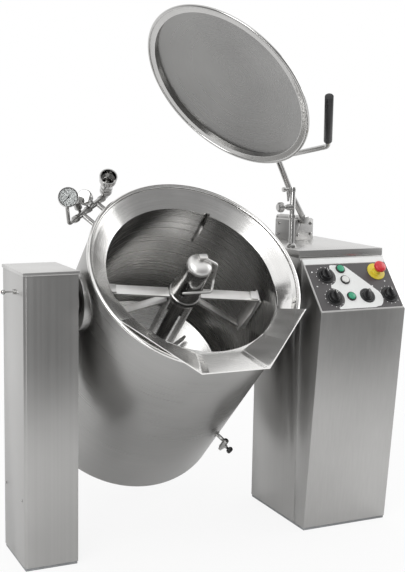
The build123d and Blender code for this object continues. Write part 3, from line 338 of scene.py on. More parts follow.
def metal(name, colour, rough, where=None, rings=False, spread=(5, 5, 160), tone=0.10, play=0.07,
          bump=0.12, cloud=5.0, cloud_depth=0.10):
    """Ground or polished metal: drawn grain in tone, gloss and height, and slow clouding from handling."""
    material, tree, shader = fresh(name)
    vector = object_coords(tree, where)
    if rings:
        grain_at = ring_coords(tree, vector, spread)
    else:
        stretch = node_at(tree, "ShaderNodeMapping", vector_type="POINT")
        stretch.inputs["Scale"].default_value = spread
        tree.links.new(vector, stretch.inputs["Vector"])
        grain_at = stretch.outputs["Vector"]
    grain = node_at(tree, "ShaderNodeTexNoise")
    grain.inputs["Scale"].default_value = 1.0
    grain.inputs["Detail"].default_value = 6.0
    grain.inputs["Roughness"].default_value = 0.62
    tree.links.new(grain_at, grain.inputs["Vector"])
    smear = node_at(tree, "ShaderNodeTexNoise")
    smear.inputs["Scale"].default_value = cloud
    smear.inputs["Detail"].default_value = 3.0
    tree.links.new(vector, smear.inputs["Vector"])
    factor = product(
        tree, ranged(tree, grain.outputs["Fac"], 1 - tone, 1 + tone * 0.5),
        ranged(tree, smear.outputs["Fac"], 1 - cloud_depth, 1 + cloud_depth * 0.4),
    )
    tree.links.new(shaded(tree, colour, factor), shader.inputs["Base Color"])
    gloss = node_at(tree, "ShaderNodeMath", operation="ADD")
    tree.links.new(ranged(tree, grain.outputs["Fac"], rough - play, rough + play), gloss.inputs[0])
    tree.links.new(ranged(tree, smear.outputs["Fac"], -play * 0.5, play * 0.6), gloss.inputs[1])
    tree.links.new(gloss.outputs[0], shader.inputs["Roughness"])
    relief = node_at(tree, "ShaderNodeBump")
    relief.inputs["Strength"].default_value = bump
    relief.inputs["Distance"].default_value = 0.0004
    tree.links.new(grain.outputs["Fac"], relief.inputs["Height"])
    tree.links.new(relief.outputs["Normal"], shader.inputs["Normal"])
    shader.inputs["Metallic"].default_value = 1.0
    return material


def plastic(name, colour, rough, grain=900.0, bump=0.10, coat=0.0, wear=0.12):
    """Moulded or printed plastic: fine leather-like grain, uneven gloss and slightly rubbed high spots."""
    material, tree, shader = fresh(name)
    vector = object_coords(tree, None)
    fine = node_at(tree, "ShaderNodeTexNoise")
    fine.inputs["Scale"].default_value = grain
    fine.inputs["Detail"].default_value = 2.0
    tree.links.new(vector, fine.inputs["Vector"])
    rub = node_at(tree, "ShaderNodeTexNoise")
    rub.inputs["Scale"].default_value = 38.0
    rub.inputs["Detail"].default_value = 4.0
    tree.links.new(vector, rub.inputs["Vector"])
    factor = product(
        tree, ranged(tree, fine.outputs["Fac"], 0.95, 1.04),
        ranged(tree, rub.outputs["Fac"], 1 - wear * 0.5, 1 + wear * 0.5),
    )
    tree.links.new(shaded(tree, colour, factor), shader.inputs["Base Color"])
    tree.links.new(ranged(tree, rub.outputs["Fac"], rough - 0.06, rough + 0.08), shader.inputs["Roughness"])
    relief = node_at(tree, "ShaderNodeBump")
    relief.inputs["Strength"].default_value = bump
    relief.inputs["Distance"].default_value = 0.0002
    tree.links.new(fine.outputs["Fac"], relief.inputs["Height"])
    tree.links.new(relief.outputs["Normal"], shader.inputs["Normal"])
    shader.inputs["Metallic"].default_value = 0.0
    shader.inputs["Coat Weight"].default_value = coat
    shader.inputs["Coat Roughness"].default_value = 0.12
    return material


def glass(name):
    """Clear gauge glass with faint wipe marks."""
    material, tree, shader = fresh(name)
    vector = object_coords(tree, None)
    wipe = node_at(tree, "ShaderNodeTexNoise")
    wipe.inputs["Scale"].default_value = 60.0
    wipe.inputs["Detail"].default_value = 3.0
    tree.links.new(vector, wipe.inputs["Vector"])
    tree.links.new(ranged(tree, wipe.outputs["Fac"], 0.02, 0.07), shader.inputs["Roughness"])
    shader.inputs["Base Color"].default_value = (0.97, 0.98, 0.98, 1)
    shader.inputs["Transmission Weight"].default_value = 1.0
    shader.inputs["IOR"].default_value = 1.45
    return material


made_finishes = {}


def finish(name):
    """The named finish, made the first time that a piece asks for it."""
    if name not in made_finishes:
        steel = bpy.context.scene.kettle_steel
        panel = bpy.context.scene.kettle_panel
        tone = Vector(steel.tone)
        # The tone factors below paint light and shade into one steel: rim, lip and arms are painted brighter,
        # casing and lid painted darker, in place of lighting.
        recipes = {
            # casing steel painted darker (tone 0.70): painted shade on the same steel as the bowl
            "casing_satin_painted_shade": lambda: metal(
                "casing_satin_painted_shade", tone * 0.70, steel.satin - 0.04, KETTLE, True, (160, 0.7, 0.7), 0.05, 0.04, 0.02,
                2.5, 0.14,
            ),
            "bowl_ground": lambda: metal(
                "bowl_ground", tone * 1.00, steel.satin - 0.08, KETTLE, True, (140, 0.7, 0.7), 0.04, 0.05, 0.02,
                4.0, 0.16,
            ),
            # rim steel painted brighter (tone 1.50): painted highlight on the same steel as the bowl
            "rim_polished_painted_light": lambda: metal(
                "rim_polished_painted_light", tone * 1.50, steel.polish + 0.08, KETTLE, True, (220, 5, 5), 0.05, 0.03, 0.03, 9.0,
                0.06,
            ),
            # lip steel painted brighter (tone 1.62): painted highlight on the same steel as the bowl
            "lip_polished_painted_light": lambda: metal(
                "lip_polished_painted_light", tone * 1.62, steel.polish + 0.14, None, False, (8, 8, 60), 0.03, 0.03, 0.01,
                3.0, 0.05,
            ),
            # lid steel painted darker (tone 0.58): painted shade on the same steel as the bowl
            "lid_ground_painted_shade": lambda: metal(
                "lid_ground_painted_shade", tone * 0.58, steel.satin - 0.06, LID, True, (110, 1, 1), 0.035, 0.04, 0.015, 3.0,
                0.18,
            ),
            "lid_edge": lambda: metal(
                "lid_edge", tone * 1.05, steel.polish + 0.02, LID, True, (220, 2, 2), 0.05, 0.03, 0.02, 7.0,
                0.08,
            ),
            "pillar_ground": lambda: metal(
                "pillar_ground", tone * 0.86, steel.satin, None, False, (140, 140, 0.6), 0.05, 0.04, 0.04,
                2.5, 0.10,
            ),
            "cover_ground": lambda: metal(
                "cover_ground", tone * 1.02, steel.satin - 0.04, None, False, (0.8, 150, 150), 0.05, 0.04, 0.04,
                3.0, 0.08,
            ),
            "fitting_polished": lambda: metal(
                "fitting_polished", tone * 0.86, steel.polish, None, False, (90, 90, 90), 0.06, 0.04,
                0.03, 14.0, 0.16,
            ),
            "mixer_satin": lambda: metal(
                "mixer_satin", tone * 0.95, steel.satin - 0.10, KETTLE, True, (200, 2, 2), 0.06, 0.04, 0.03,
                9.0, 0.12,
            ),
            # arm steel painted brighter (tone 1.45): painted highlight on the same steel as the bowl
            "arm_painted_light": lambda: metal(
                "arm_painted_light", tone * 1.45, steel.satin + 0.06, None, False, (50, 50, 50), 0.05, 0.04, 0.02, 9.0,
                0.08,
            ),
            "frame_painted": lambda: plastic("frame_painted", (0.30, 0.31, 0.32), 0.55, 500.0, 0.2, 0.0, 0.3),
            "bearing_cast": lambda: metal(
                "bearing_cast", (0.16, 0.165, 0.17), 0.5, None, False, (300, 300, 300), 0.3, 0.12, 0.5, 20.0,
                0.3,
            ),
            "panel_print": lambda: plastic("panel_print", panel.grey, 0.42, 1400.0, 0.06, 0.1, 0.08),
            "zone_print": lambda: plastic("zone_print", panel.zone, 0.40, 1400.0, 0.05, 0.1, 0.04),
            "black_moulded": lambda: plastic("black_moulded", (0.014, 0.014, 0.015), 0.36, 1200.0, 0.18, 0.1),
            "white_moulded": lambda: plastic("white_moulded", (0.80, 0.80, 0.78), 0.30, 900.0, 0.05, 0.4),
            "green_moulded": lambda: plastic("green_moulded", panel.green, 0.26, 900.0, 0.05, 0.5),
            "red_moulded": lambda: plastic("red_moulded", panel.red, 0.28, 900.0, 0.05, 0.5),
            "yellow_moulded": lambda: plastic("yellow_moulded", panel.yellow, 0.36, 900.0, 0.06, 0.3),
            "gauge_glass": lambda: glass("gauge_glass"),
        }
        made_finishes[name] = recipes[name]()
    return made_finishes[name]


# ------------------------------------------------------------ what a user may change
class KettleSteel(bpy.types.PropertyGroup):
    tone: bpy.props.FloatVectorProperty(
        name="Steel tone", description="Colour of the bare stainless steel", subtype="COLOR", size=3,
        default=(0.60, 0.595, 0.585), min=0.0, max=1.0,
    )
    satin: bpy.props.FloatProperty(
        name="Satin roughness", description="Roughness of the ground sheets", subtype="FACTOR", default=0.34,
        min=0.1, max=0.8,
    )
    polish: bpy.props.FloatProperty(
        name="Polish roughness", description="Roughness of the polished rim", subtype="FACTOR", default=0.10,
        min=0.03, max=0.4,
    )
    fold: bpy.props.FloatProperty(
        name="Fold radius", description="Rounding of the sheet-metal folds", unit="LENGTH", default=0.0014,
        min=0.0002, max=0.004,
    )


class KettlePanel(bpy.types.PropertyGroup):
    grey: bpy.props.FloatVectorProperty(
        name="Panel grey", description="Printed ground of the control panel", subtype="COLOR", size=3,
        default=(0.085, 0.080, 0.082), min=0.0, max=1.0,
    )
    zone: bpy.props.FloatVectorProperty(
        name="Zone white", description="Printed white field and strip", subtype="COLOR", size=3,
        default=(0.90, 0.91, 0.90), min=0.0, max=1.0,
    )
    green: bpy.props.FloatVectorProperty(
        name="Push button green", description="Caps of the two green buttons", subtype="COLOR", size=3,
        default=(0.02, 0.36, 0.19), min=0.0, max=1.0,
    )
    red: bpy.props.FloatVectorProperty(
        name="Stop button red", description="Mushroom head of the stop button", subtype="COLOR", size=3,
        default=(0.70, 0.02, 0.03), min=0.0, max=1.0,
    )
    yellow: bpy.props.FloatVectorProperty(
        name="Collar yellow", description="Collar of the stop button", subtype="COLOR", size=3,
        default=(0.80, 0.66, 0.05), min=0.0, max=1.0,
    )
    tick: bpy.props.FloatProperty(
        name="Tick radius", description="Circle on which the dial marks stand", unit="LENGTH", default=0.0325,
        min=0.03, max=0.036,
    )


class KettleStage(bpy.types.PropertyGroup):
    key: bpy.props.FloatProperty(
        name="Key light", description="Power of the large lamp at the front left", unit="POWER", default=58.0,
        min=0.0, max=400.0,
    )
    fill: bpy.props.FloatProperty(
        name="Fill light", description="Power of the lamp on the right", unit="POWER", default=18.0, min=0.0,
        max=400.0,
    )
    room: bpy.props.FloatProperty(
        name="Room", description="Brightness of the studio behind the camera", default=0.26, min=0.0, max=1.0,
    )
    floor: bpy.props.FloatVectorProperty(
        name="Floor tone", description="Colour of the plain floor", subtype="COLOR", size=3,
        default=(0.86, 0.86, 0.86), min=0.0, max=1.0,
    )


# ------------------------------------------------------------ the pieces
class KETTLE_OT_body(bpy.types.Operator):
    """Outer casing with its seam, bottom cover and trunnions"""
    bl_idname = "kettle.body"
    bl_label = "Kettle casing"

    def execute(self, context):
        casing = lathe(
            "kettle_shell", KETTLE,
            [(CASING_R - 2.4, -14.4), (CASING_R - 0.5, -14.2), (CASING_R, -15), (CASING_R, -CASING_LENGTH + 6),
             (CASING_R - 0.4, -CASING_LENGTH + 3), (CASING_R - 1.2, -CASING_LENGTH),
             (CASING_R - 3.4, -CASING_LENGTH), (CASING_R - 2.6, -CASING_LENGTH + 6)],
            160,
        )
        fit(casing, "kettle", "stainless_satin", finish("casing_satin_painted_shade"), "kettle_casing")
        fit(fair("kettle_bottom", "bottom_cover", 0.6), "kettle", "stainless_satin", finish("casing_satin_painted_shade"),
            "kettle_bottom")
        fit(fair("trunnions", "trunnion_pair", 1.0), "kettle", "stainless_polished", finish("casing_satin_painted_shade"),
            "trunnions")
        return {"FINISHED"}


class KETTLE_OT_rim(bpy.types.Operator):
    """Rolled rim with the lid ledge, and the folded pouring lip"""
    bl_idname = "kettle.rim"
    bl_label = "Rim and pouring lip"

    def execute(self, context):
        rim = fair("kettle_rim", "rolled_rim", 0.0, 50)
        self.sink_ledge(rim)
        fit(rim, "kettle", "stainless_polished", finish("rim_polished_painted_light"), "kettle_rim")
        fit(fair("pouring_lip", "folded_lip", 0.5), "kettle", "stainless_polished", finish("lip_polished_painted_light"),
            "pouring_lip")
        return {"FINISHED"}

    def sink_ledge(self, rim):
        """Slopes the lid ledge evenly down to the bowl's wall, fading out beside the pouring lip."""
        back = KETTLE.inverted()
        for vertex in rim.data.vertices:
            local = back @ vertex.co / MM
            radius, height = hypot(local.x, local.y), local.z
            if radius > LEDGE_R:
                continue
            side = degrees(atan2(local.y, local.x))
            side = side + 360 if side < -90 else side
            fade = max(0.0, min(1.0, min(LIP_START - side, side - LIP_END) / LEDGE_FADE - 0.1))
            upper = height > -26.0 - (316 - radius) * 0.068 and height > -30.5
            line = LEDGE_TOP - (LEDGE_TOP_R - radius) * LEDGE_FALL / LEDGE_RUN
            under = line if upper or radius < BOWL_R + 1 else line - LEDGE_SHEET
            wanted = LEDGE_FOOT if height < -43 else under
            local.z += (wanted - height) * fade * fade * (3 - 2 * fade)
            vertex.co = KETTLE @ (local * MM)
        take(rim)
        bpy.ops.object.shade_smooth_by_angle(angle=radians(50))


class KETTLE_OT_bowl(bpy.types.Operator):
    """Bowl with its dished bottom and centre tube, and the probe on its wall"""
    bl_idname = "kettle.bowl"
    bl_label = "Bowl"

    def execute(self, context):
        floor = dish(32, BOWL_R, -BOWL_DEPTH, -BOWL_SIDE, 16)
        under = dish(32, BOWL_R + 4, -BOWL_DEPTH - 4, -BOWL_SIDE - 2, 16)
        bowl = lathe(
            "bowl_wall", KETTLE,
            [(BOWL_R + 4, -44.1), (BOWL_R, -44.1), *reversed(floor), (32, -582), (30.5, -580), (26.4, -580),
             (26.4, -666), (32, -666), *under],
            144,
        )
        fit(bowl, "kettle", "stainless_satin", finish("bowl_ground"), "kettle_bowl")
        fit(fair("probe_strip", "probe_cover", 1.2), "kettle", "stainless_polished", finish("fitting_polished"),
            "probe_strip")
        return {"FINISHED"}


class KETTLE_OT_fittings(bpy.types.Operator):
    """Steam manifold, valves, vent cup, pressure gauge and level cock"""
    bl_idname = "kettle.fittings"
    bl_label = "Steam fittings"

    def execute(self, context):
        bright = finish("fitting_polished")
        for node, name, edge in (
            ("valve_manifold", "manifold", 0.6), ("vent_cup", "vent_cup_turned", 0.5),
            ("kettle_valves", "valve_pair", 0.6), ("level_cock", "level_cock_body", 0.6),
        ):
            fit(fair(node, name, edge), "kettle", "stainless_polished", bright, node)
        fit(fair("level_cock_knob", "level_cock_handle", 0.8), "level_knob", "black_plastic",
            finish("black_moulded"), "level_cock_knob")
        fit(fair("safety_valve_knob", "valve_cap_fluted", 0.5), "valve_cap", "stainless_polished", bright,
            "safety_valve_knob")
        self.gauge()
        return {"FINISHED"}

    def gauge(self):
        case = lathe(
            "gauge_case", GAUGE,
            [(0, -21.9), (24, -21.9), (27.6, -20), (28.4, -17), (28.4, -2), (29, -1.4), (29, 2.4), (28.4, 3),
             (26.4, 3), (26, 2.6), (26, -1), (0, -1)],
            64,
        )
        stem = lathe("gauge_stem", inside(GAUGE, (0, 0, -36)), [(0, 0), (7.4, 0), (8, 0.6), (8, 15), (0, 15)], 24)
        fit(joined("gauge_case", [case, stem]), "kettle", "stainless_polished", finish("fitting_polished"),
            "pressure_gauge")
        dial = lathe("gauge_dial", inside(GAUGE, (0, 0, -0.9)), [(0, 0), (25.8, 0), (25.8, 0.6), (0, 0.6)], 64)
        fit(dial, "kettle", "white_plastic", finish("zone_print"))
        mark = cut_plate("gauge_marks", FLOOR, [(18, -0.5), (23.5, -0.5), (23.5, 0.5), (18, 0.5)], 0.2)
        mark = set_in(ring_of(mark, 11, radians(27)), inside(GAUGE, (0, 0, -0.2)))
        needle = cut_plate(
            "gauge_needle", inside(GAUGE, (0, 0, 0.3), (0, 0, 1), (-0.7, -0.7, 0)),
            [(-7, -1.1), (4, -0.9), (19, -0.2), (19, 0.2), (4, 0.9), (-7, 1.1)], 0.5,
        )
        hub = lathe("gauge_hub", inside(GAUGE, (0, 0, 0.2)), [(0, 0), (2.6, 0), (2.6, 1.2), (0, 1.6)], 20)
        fit(joined("gauge_needle", [mark, needle, hub]), "kettle", "black_plastic", finish("black_moulded"))
        pane = lathe("gauge_pane", inside(GAUGE, (0, 0, 2.0)), [(0, 0), (25.9, 0), (25.9, 0.8), (0, 0.8)], 64)
        fit(pane, "kettle", "white_plastic", finish("gauge_glass"))


class KETTLE_OT_mixer(bpy.types.Operator):
    """Mixer shaft, head, cap, latch, rails, arms, blades and scrapers"""
    bl_idname = "kettle.mixer"
    bl_label = "Mixer"

    def execute(self, context):
        satin = finish("mixer_satin")
        for node, name, edge in (
            ("mixer_shaft", "drive_shaft", 0.8), ("mixer_head", "mixer_hood", 0.8),
            ("mixer_rails", "mixer_side_rails", 0.8),
        ):
            fit(fair(node, name, edge), "mixer", "stainless_polished", satin, node)
        for node, name, edge in (
            ("mixer_latch", "latch_bar", 0.8), ("mixer_arms", "mixer_cross_arms", 1.0),
            ("mixer_blades", "mixer_paddles", 1.0),
        ):
            fit(fair(node, name, edge), "mixer", "stainless_polished", finish("arm_painted_light"), node)
        fit(fair("mixer_scrapers", "wall_scrapers", 1.0), "mixer", "white_plastic", finish("white_moulded"),
            "mixer_scrapers")
        low = HEAD_TOP + 0.2
        cap = lathe(
            "mixer_cap_domed", KETTLE,
            [(0, low), (HEAD_R - 0.6, low), (HEAD_R, low + 0.6), (HEAD_R, low + 4), (HEAD_R - 0.8, low + 8),
             (HEAD_R - 3, low + 12), (HEAD_R - 6, low + 15.6), (HEAD_R - 10, low + 18.4),
             (HEAD_R / 2 + 4, low + 21.2), (HEAD_R / 2 - 6, low + 23), (0, low + 24)],
            72, 50,
        )
        fit(cap, "mixer", "stainless_polished", finish("arm_painted_light"), "mixer_cap")
        return {"FINISHED"}


class KETTLE_OT_lid(bpy.types.Operator):
    """Domed lid with its rolled edge, arm, hinge pin, handle and grip"""
    bl_idname = "kettle.lid"
    bl_label = "Lid"

    def execute(self, context):
        edge = lathe(
            "lid_ring", LID,
            [*arc(LID_R - 5, 0, 5, 165, -165, 22), (LID_R - 11.5, -1.2), (LID_R - 14, -0.6),
             (LID_R - 24, -1.0), (LID_R - 27, -0.2), (LID_R - 27, 18), (LID_R - 24, 18.1),
             (LID_R - 23.8, 3.4), (LID_R - 21, 1.8), (LID_R - 11.5, 1.2)],
            160, 50,
        )
        fit(edge, "lid", "stainless_polished", finish("lid_edge"), "lid_rim")
        crown = LID_R - 24
        top = dish(0, crown, LID_CROWN + 2, LID_STEP + 2, 18)
        low = dish(0, crown, LID_CROWN, LID_STEP, 18)
        dome = lathe("lid_dome", LID, [*low, *reversed(top)], 144, 50)
        pad = lathe(
            "lid_pad", inside(LID, (0, 0, LID_CROWN + 0.5)), [(0, 0), (55, 0), (55, 16), (53.6, 17.4), (0, 17.4)],
            64,
        )
        bolt = cut_plate(
            "pad_bolts", FLOOR, [(40 + 6.6 * cos(pi / 3 * k), 6.6 * sin(pi / 3 * k)) for k in range(6)], 4.6, 0.4,
        )
        bolt = set_in(ring_of(bolt, 4, pi / 2), inside(LID, (0, 0, LID_CROWN + 17.6), (0, 0, 1), (1, 1, 0)))
        fit(dome, "lid", "stainless_satin", finish("lid_ground_painted_shade"), "lid_panel")
        fit(joined("lid_pad", [pad, bolt]), "lid", "stainless_satin", finish("fitting_polished"))
        for node, name, edge in (
            ("lid_arm", "lid_arm_tube", 0.5), ("lid_hinge_pin", "hinge_pin", 0.8),
            ("lid_handle", "handle_tube", 0.5),
        ):
            fit(fair(node, name, edge), "lid", "stainless_polished", finish("fitting_polished"), node)
        fit(fair("lid_grip", "grip_sleeve", 1.4), "lid", "black_plastic", finish("black_moulded"), "lid_grip")
        return {"FINISHED"}


class KETTLE_OT_left_pillar(bpy.types.Operator):
    """Support pillar with its folded corner, cap, foot and fittings"""
    bl_idname = "kettle.left_pillar"
    bl_label = "Support pillar"

    def execute(self, context):
        fold = context.scene.kettle_steel.fold / MM
        ground = finish("pillar_ground")
        fit(fair("left_casing", "support_casing", fold), "stand", "stainless_satin", ground, "left_casing")
        fit(fair("left_cap", "support_cap", fold), "stand", "stainless_satin", finish("cover_ground"), "left_cap")
        fit(fair("left_fittings", "support_fittings", 0.5), "stand", "stainless_polished",
            finish("fitting_polished"), "left_fittings")
        fit(fair("left_frame", "support_frame", 0.8), "stand", "frame_steel", finish("frame_painted"), "left_frame")
        fit(fair("trunnion_bearings", "bearing_pair", 1.2), "stand", "bearing_iron", finish("bearing_cast"),
            "trunnion_bearings")
        return {"FINISHED"}


class KETTLE_OT_right_pillar(bpy.types.Operator):
    """Control pillar with its covers, hinge console and hinge block"""
    bl_idname = "kettle.right_pillar"
    bl_label = "Control pillar"

    def execute(self, context):
        fold = context.scene.kettle_steel.fold / MM
        ground, bright = finish("pillar_ground"), finish("fitting_polished")
        fit(fair("right_casing", "control_casing", fold * 0.6), "stand", "stainless_satin", ground, "right_casing")
        fit(fair("right_front_cover", "front_cover", fold * 0.6), "stand", "stainless_satin", ground,
            "right_front_cover")
        fit(fair("top_cover", "flat_top", fold), "stand", "stainless_satin", finish("cover_ground"), "top_cover")
        fit(fair("hinge_console", "rear_console", 0.8), "stand", "stainless_satin", ground, "hinge_console")
        fit(fair("hinge_block", "hinge_housing", 1.0), "stand", "stainless_satin", ground, "hinge_block")
        fit(fair("fasteners", "bolt_heads", 0.6), "stand", "stainless_polished", bright, "fasteners")
        fit(fair("right_frame", "control_frame", 0.8), "stand", "frame_steel", finish("frame_painted"),
            "right_frame")
        return {"FINISHED"}


class KETTLE_OT_panel(bpy.types.Operator):
    """Control panel with its printed ground, white field and dial marks"""
    bl_idname = "kettle.panel"
    bl_label = "Control panel"

    def execute(self, context):
        fit(fair("control_panel", "panel_sheet", 0.7), "stand", "stainless_satin", finish("cover_ground"),
            "control_panel")
        ground = cut_plate(
            "panel_ground", inside(PANEL, (156, 92, 2.0)),
            [(-151, -83), (-149, -85), (149, -85), (151, -83), (151, 83), (149, 85), (-149, 85), (-151, 83)], 0.8,
        )
        fit(ground, "stand", "panel_grey", finish("panel_print"), "panel_overlay")
        strip = cut_plate(
            "panel_strip", inside(PANEL, (156, 189, 2.0)),
            [(-153, -9), (-152, -10), (152, -10), (153, -9), (153, 9), (152, 10), (-152, 10), (-153, 9)], 0.8,
        )
        field = cut_plate(
            "panel_field", inside(PANEL, (0, 0, OVERLAY_TOP - 0.1)),
            [(92, 172), (100, 174), (146, 168), (152, 164), *arc(206, 46, 38, 50, -60, 8), (214, 12), (204, 9),
             (72, 9), (70, 14), (69, 90)],
            0.18,
        )
        fit(joined("panel_field", [strip, field]), "stand", "white_plastic", finish("zone_print"))
        self.dials(context)
        return {"FINISHED"}

    def dials(self, context):
        tick = context.scene.kettle_panel.tick / MM
        dark, white, collars = [], [], []
        for k, (name, (x, y)) in enumerate(KNOBS.items()):
            if k < 2:
                dark.append(lathe(
                    f"dial_ground_{k}", inside(PANEL, (x, y, OVERLAY_TOP)),
                    [(4, 0), (36, 0), (36, 0.14), (4, 0.14)], 48,
                ))
            dot = lathe(f"dial_dot_{k}", FLOOR, [(0, 0), (1.5, 0), (1.5, 0.1), (0, 0.1)], 10)
            dot = set_in(dot, place((tick, 0, 0), (1, 0, 0), (0, 0, 1)))
            dot = ring_of(dot, 11, radians(27))
            turned = inside(PANEL, (x, y, OVERLAY_TOP + 0.14), (0, 0, 1), (cos(radians(-45)), sin(radians(-45)), 0))
            white.append(set_in(dot, turned))
        for k, (x, y) in enumerate(((155, 82), (222, 88), (276, 104), (20, 150), (20, 96))):
            white.append(lathe(
                f"panel_spot_{k}", inside(PANEL, (x, y, OVERLAY_TOP)), [(0, 0), (2.6, 0), (2.6, 0.2), (0, 0.2)], 16,
            ))
        for k, (x, y) in enumerate((*KNOBS.values(), SELECTOR)):
            inner, outer = (18.8, 26.5) if (x, y) == SELECTOR else (21.8, 28.5)
            collars.append(lathe(
                f"dial_collar_{k}", inside(PANEL, (x, y, OVERLAY_TOP)),
                [(inner, 0), (outer, 0), (outer, 1.4), (outer - 1.4, 3.2), (inner + 1, 4.0), (inner, 3.6)], 64,
            ))
        fit(joined("dial_collars", collars), "stand", "black_plastic", finish("black_moulded"))
        fit(joined("dial_grounds", dark), "stand", "panel_grey", finish("panel_print"))
        fit(joined("dial_marks", white), "stand", "white_plastic", finish("zone_print"))


class KETTLE_OT_controls(bpy.types.Operator):
    """Dial knobs, selector, push buttons and stop button"""
    bl_idname = "kettle.controls"
    bl_label = "Controls"

    def execute(self, context):
        for name, (x, y) in KNOBS.items():
            self.knob(name, inside(PANEL, (x, y, OVERLAY_TOP + 0.4)))
        self.selector(inside(PANEL, (*SELECTOR, OVERLAY_TOP + 0.4)))
        self.buttons()
        self.stop()
        return {"FINISHED"}

    def knob(self, node, seat):
        dish_knob = lathe(
            node + "_skirt", seat,
            [(3, -11.6), (3, 0), (20, 0), (21, 0.8), (21, 4), (20, 5), (18.4, 5.6), (17.4, 14.4), (16.4, 15.4),
             (0, 15.8), (0, -11.6)],
            60,
        )
        bar = cut_plate(
            node + "_bar", inside(seat, (0, 0, 14.8)),
            [*arc(0, 11, 4.4, 0, 180, 8), *arc(0, -11, 4.4, 180, 360, 8)], 9.0, 0.8,
        )
        tooth = cut_plate(node + "_flutes", FLOOR, [(18, -0.8), (19.3, -0.5), (19.3, 0.5), (18, 0.8)], 9.4, 0.2)
        tooth = set_in(ring_of(tooth, 24, radians(15)), inside(seat, (-0.2, 0, 5.2)))
        piece = joined(node + "_moulding", [dish_knob, bar, tooth])
        fit(piece, KNOB_BODIES[node], "black_plastic", finish("black_moulded"), node)
        line = cut_plate(
            node + "_pointer", inside(seat, (0, 0, 23.7)), [(-0.7, 3), (0.7, 3), (0.7, 14.4), (-0.7, 14.4)], 0.25,
        )
        fit(line, KNOB_BODIES[node], "black_plastic", finish("white_moulded"))

    def selector(self, seat):
        base = lathe(
            "selector_base", seat,
            [(3, -11.6), (3, 0), (17, 0), (18, 0.8), (18, 4.6), (17, 6), (0, 6.2), (0, -11.6)], 56,
        )
        lever = inside(seat, (0, 0, 6), (0, 0, 1), (cos(radians(70)), sin(radians(70)), 0))
        handle = cut_plate(
            "selector_lever", lever, [*arc(11, 0, 5.6, -90, 90, 8), *arc(-11, 0, 5.6, 90, 270, 8)], 11.8, 1.0,
        )
        fit(joined("selector_moulding", [base, handle]), "selector", "black_plastic", finish("black_moulded"),
            "selector_switch")
        line = cut_plate(
            "selector_pointer", inside(lever, (0, 0, 11.7)), [(4, -0.7), (14.5, -0.7), (14.5, 0.7), (4, 0.7)], 0.25,
        )
        fit(line, "selector", "black_plastic", finish("white_moulded"))

    def buttons(self):
        colours = {"button_start": "green", "button_mix": "green", "button_light": "white"}
        rings = []
        for k, (node, (x, y)) in enumerate(BUTTONS.items()):
            cap = lathe(
                node + "_cap", inside(PANEL, (x, y, OVERLAY_TOP + 3.5)),
                [(3, -11.6), (3, 0), (12.5, 0), (12.5, 2.2), (12.1, 3.2), (11.2, 3.9), (9.5, 4.0), (9, 3.6),
                 (4, 4.2), (0, 4.5), (0, -11.6)],
                48,
            )
            colour = colours[node]
            fit(cap, BUTTON_BODIES[node], colour + "_plastic", finish(colour + "_moulded"), node)
            rings.append(lathe(
                f"bezel_{k}", inside(PANEL, (x, y, OVERLAY_TOP)),
                [(13, 0), (16, 0), (16, 2.8), (15.4, 4.2), (14.5, 5), (13.4, 5), (13, 4.6)], 48,
            ))
        fit(joined("bezel_rings", rings), "stand", "black_plastic", finish("black_moulded"), "button_bezels")

    def stop(self):
        x, y = STOP
        seat = inside(PANEL, (x, y, OVERLAY_TOP))
        collar = lathe(
            "stop_collar", seat,
            [(9, 0), (30.6, 0), (31, 0.4), (31, 2.4), (30.2, 3.4), (28, 4), (15.4, 5), (14.4, 6), (13.4, 13),
             (12.6, 14), (9, 14)],
            72,
        )
        fit(collar, "stand", "yellow_plastic", finish("yellow_moulded"), "estop_collar")
        head = lathe(
            "stop_mushroom", seat,
            [(0, -8.6), (3, -8.6), (3, 4.6), (8, 4.6), (8, 22), (13.6, 22.5), (18.4, 24.6), (20, 27), (20, 32.6),
             (19, 35), (16.8, 36.9), (12, 38.4), (6, 39.2), (0, 39.4)],
            64, 45,
        )
        fit(head, "stop_button", "red_plastic", finish("red_moulded"), "estop_button")


class KETTLE_OT_tap(bpy.types.Operator):
    """Water tap with its column, handwheel and swivel spout"""
    bl_idname = "kettle.tap"
    bl_label = "Water tap"

    def execute(self, context):
        bright = finish("fitting_polished")
        fit(fair("tap_column", "tap_post", 0.5), "stand", "stainless_polished", bright, "tap_column")
        fit(fair("tap_spout", "tap_outlet", 0.5), "tap_nozzle", "stainless_polished", bright, "tap_spout")
        fit(fair("tap_handwheel", "tap_wheel_turned", 0.6), "tap_wheel", "stainless_polished", bright,
            "tap_handwheel")
        return {"FINISHED"}


class KETTLE_OT_hidden(bpy.types.Operator):
    """Finishes of the solids inside the casings"""
    bl_idname = "kettle.hidden"
    bl_label = "Inner parts"

    def execute(self, context):
        for node, name in (
            ("steam_jacket", "casing_satin_painted_shade"), ("trunnion_ring", "casing_satin_painted_shade"),
            ("mixer_gearmotor", "frame_painted"), ("tilt_gearmotor", "frame_painted"),
        ):
            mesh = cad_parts[node].data
            mesh.materials.clear()
            mesh.materials.append(finish(name))
        return {"FINISHED"}


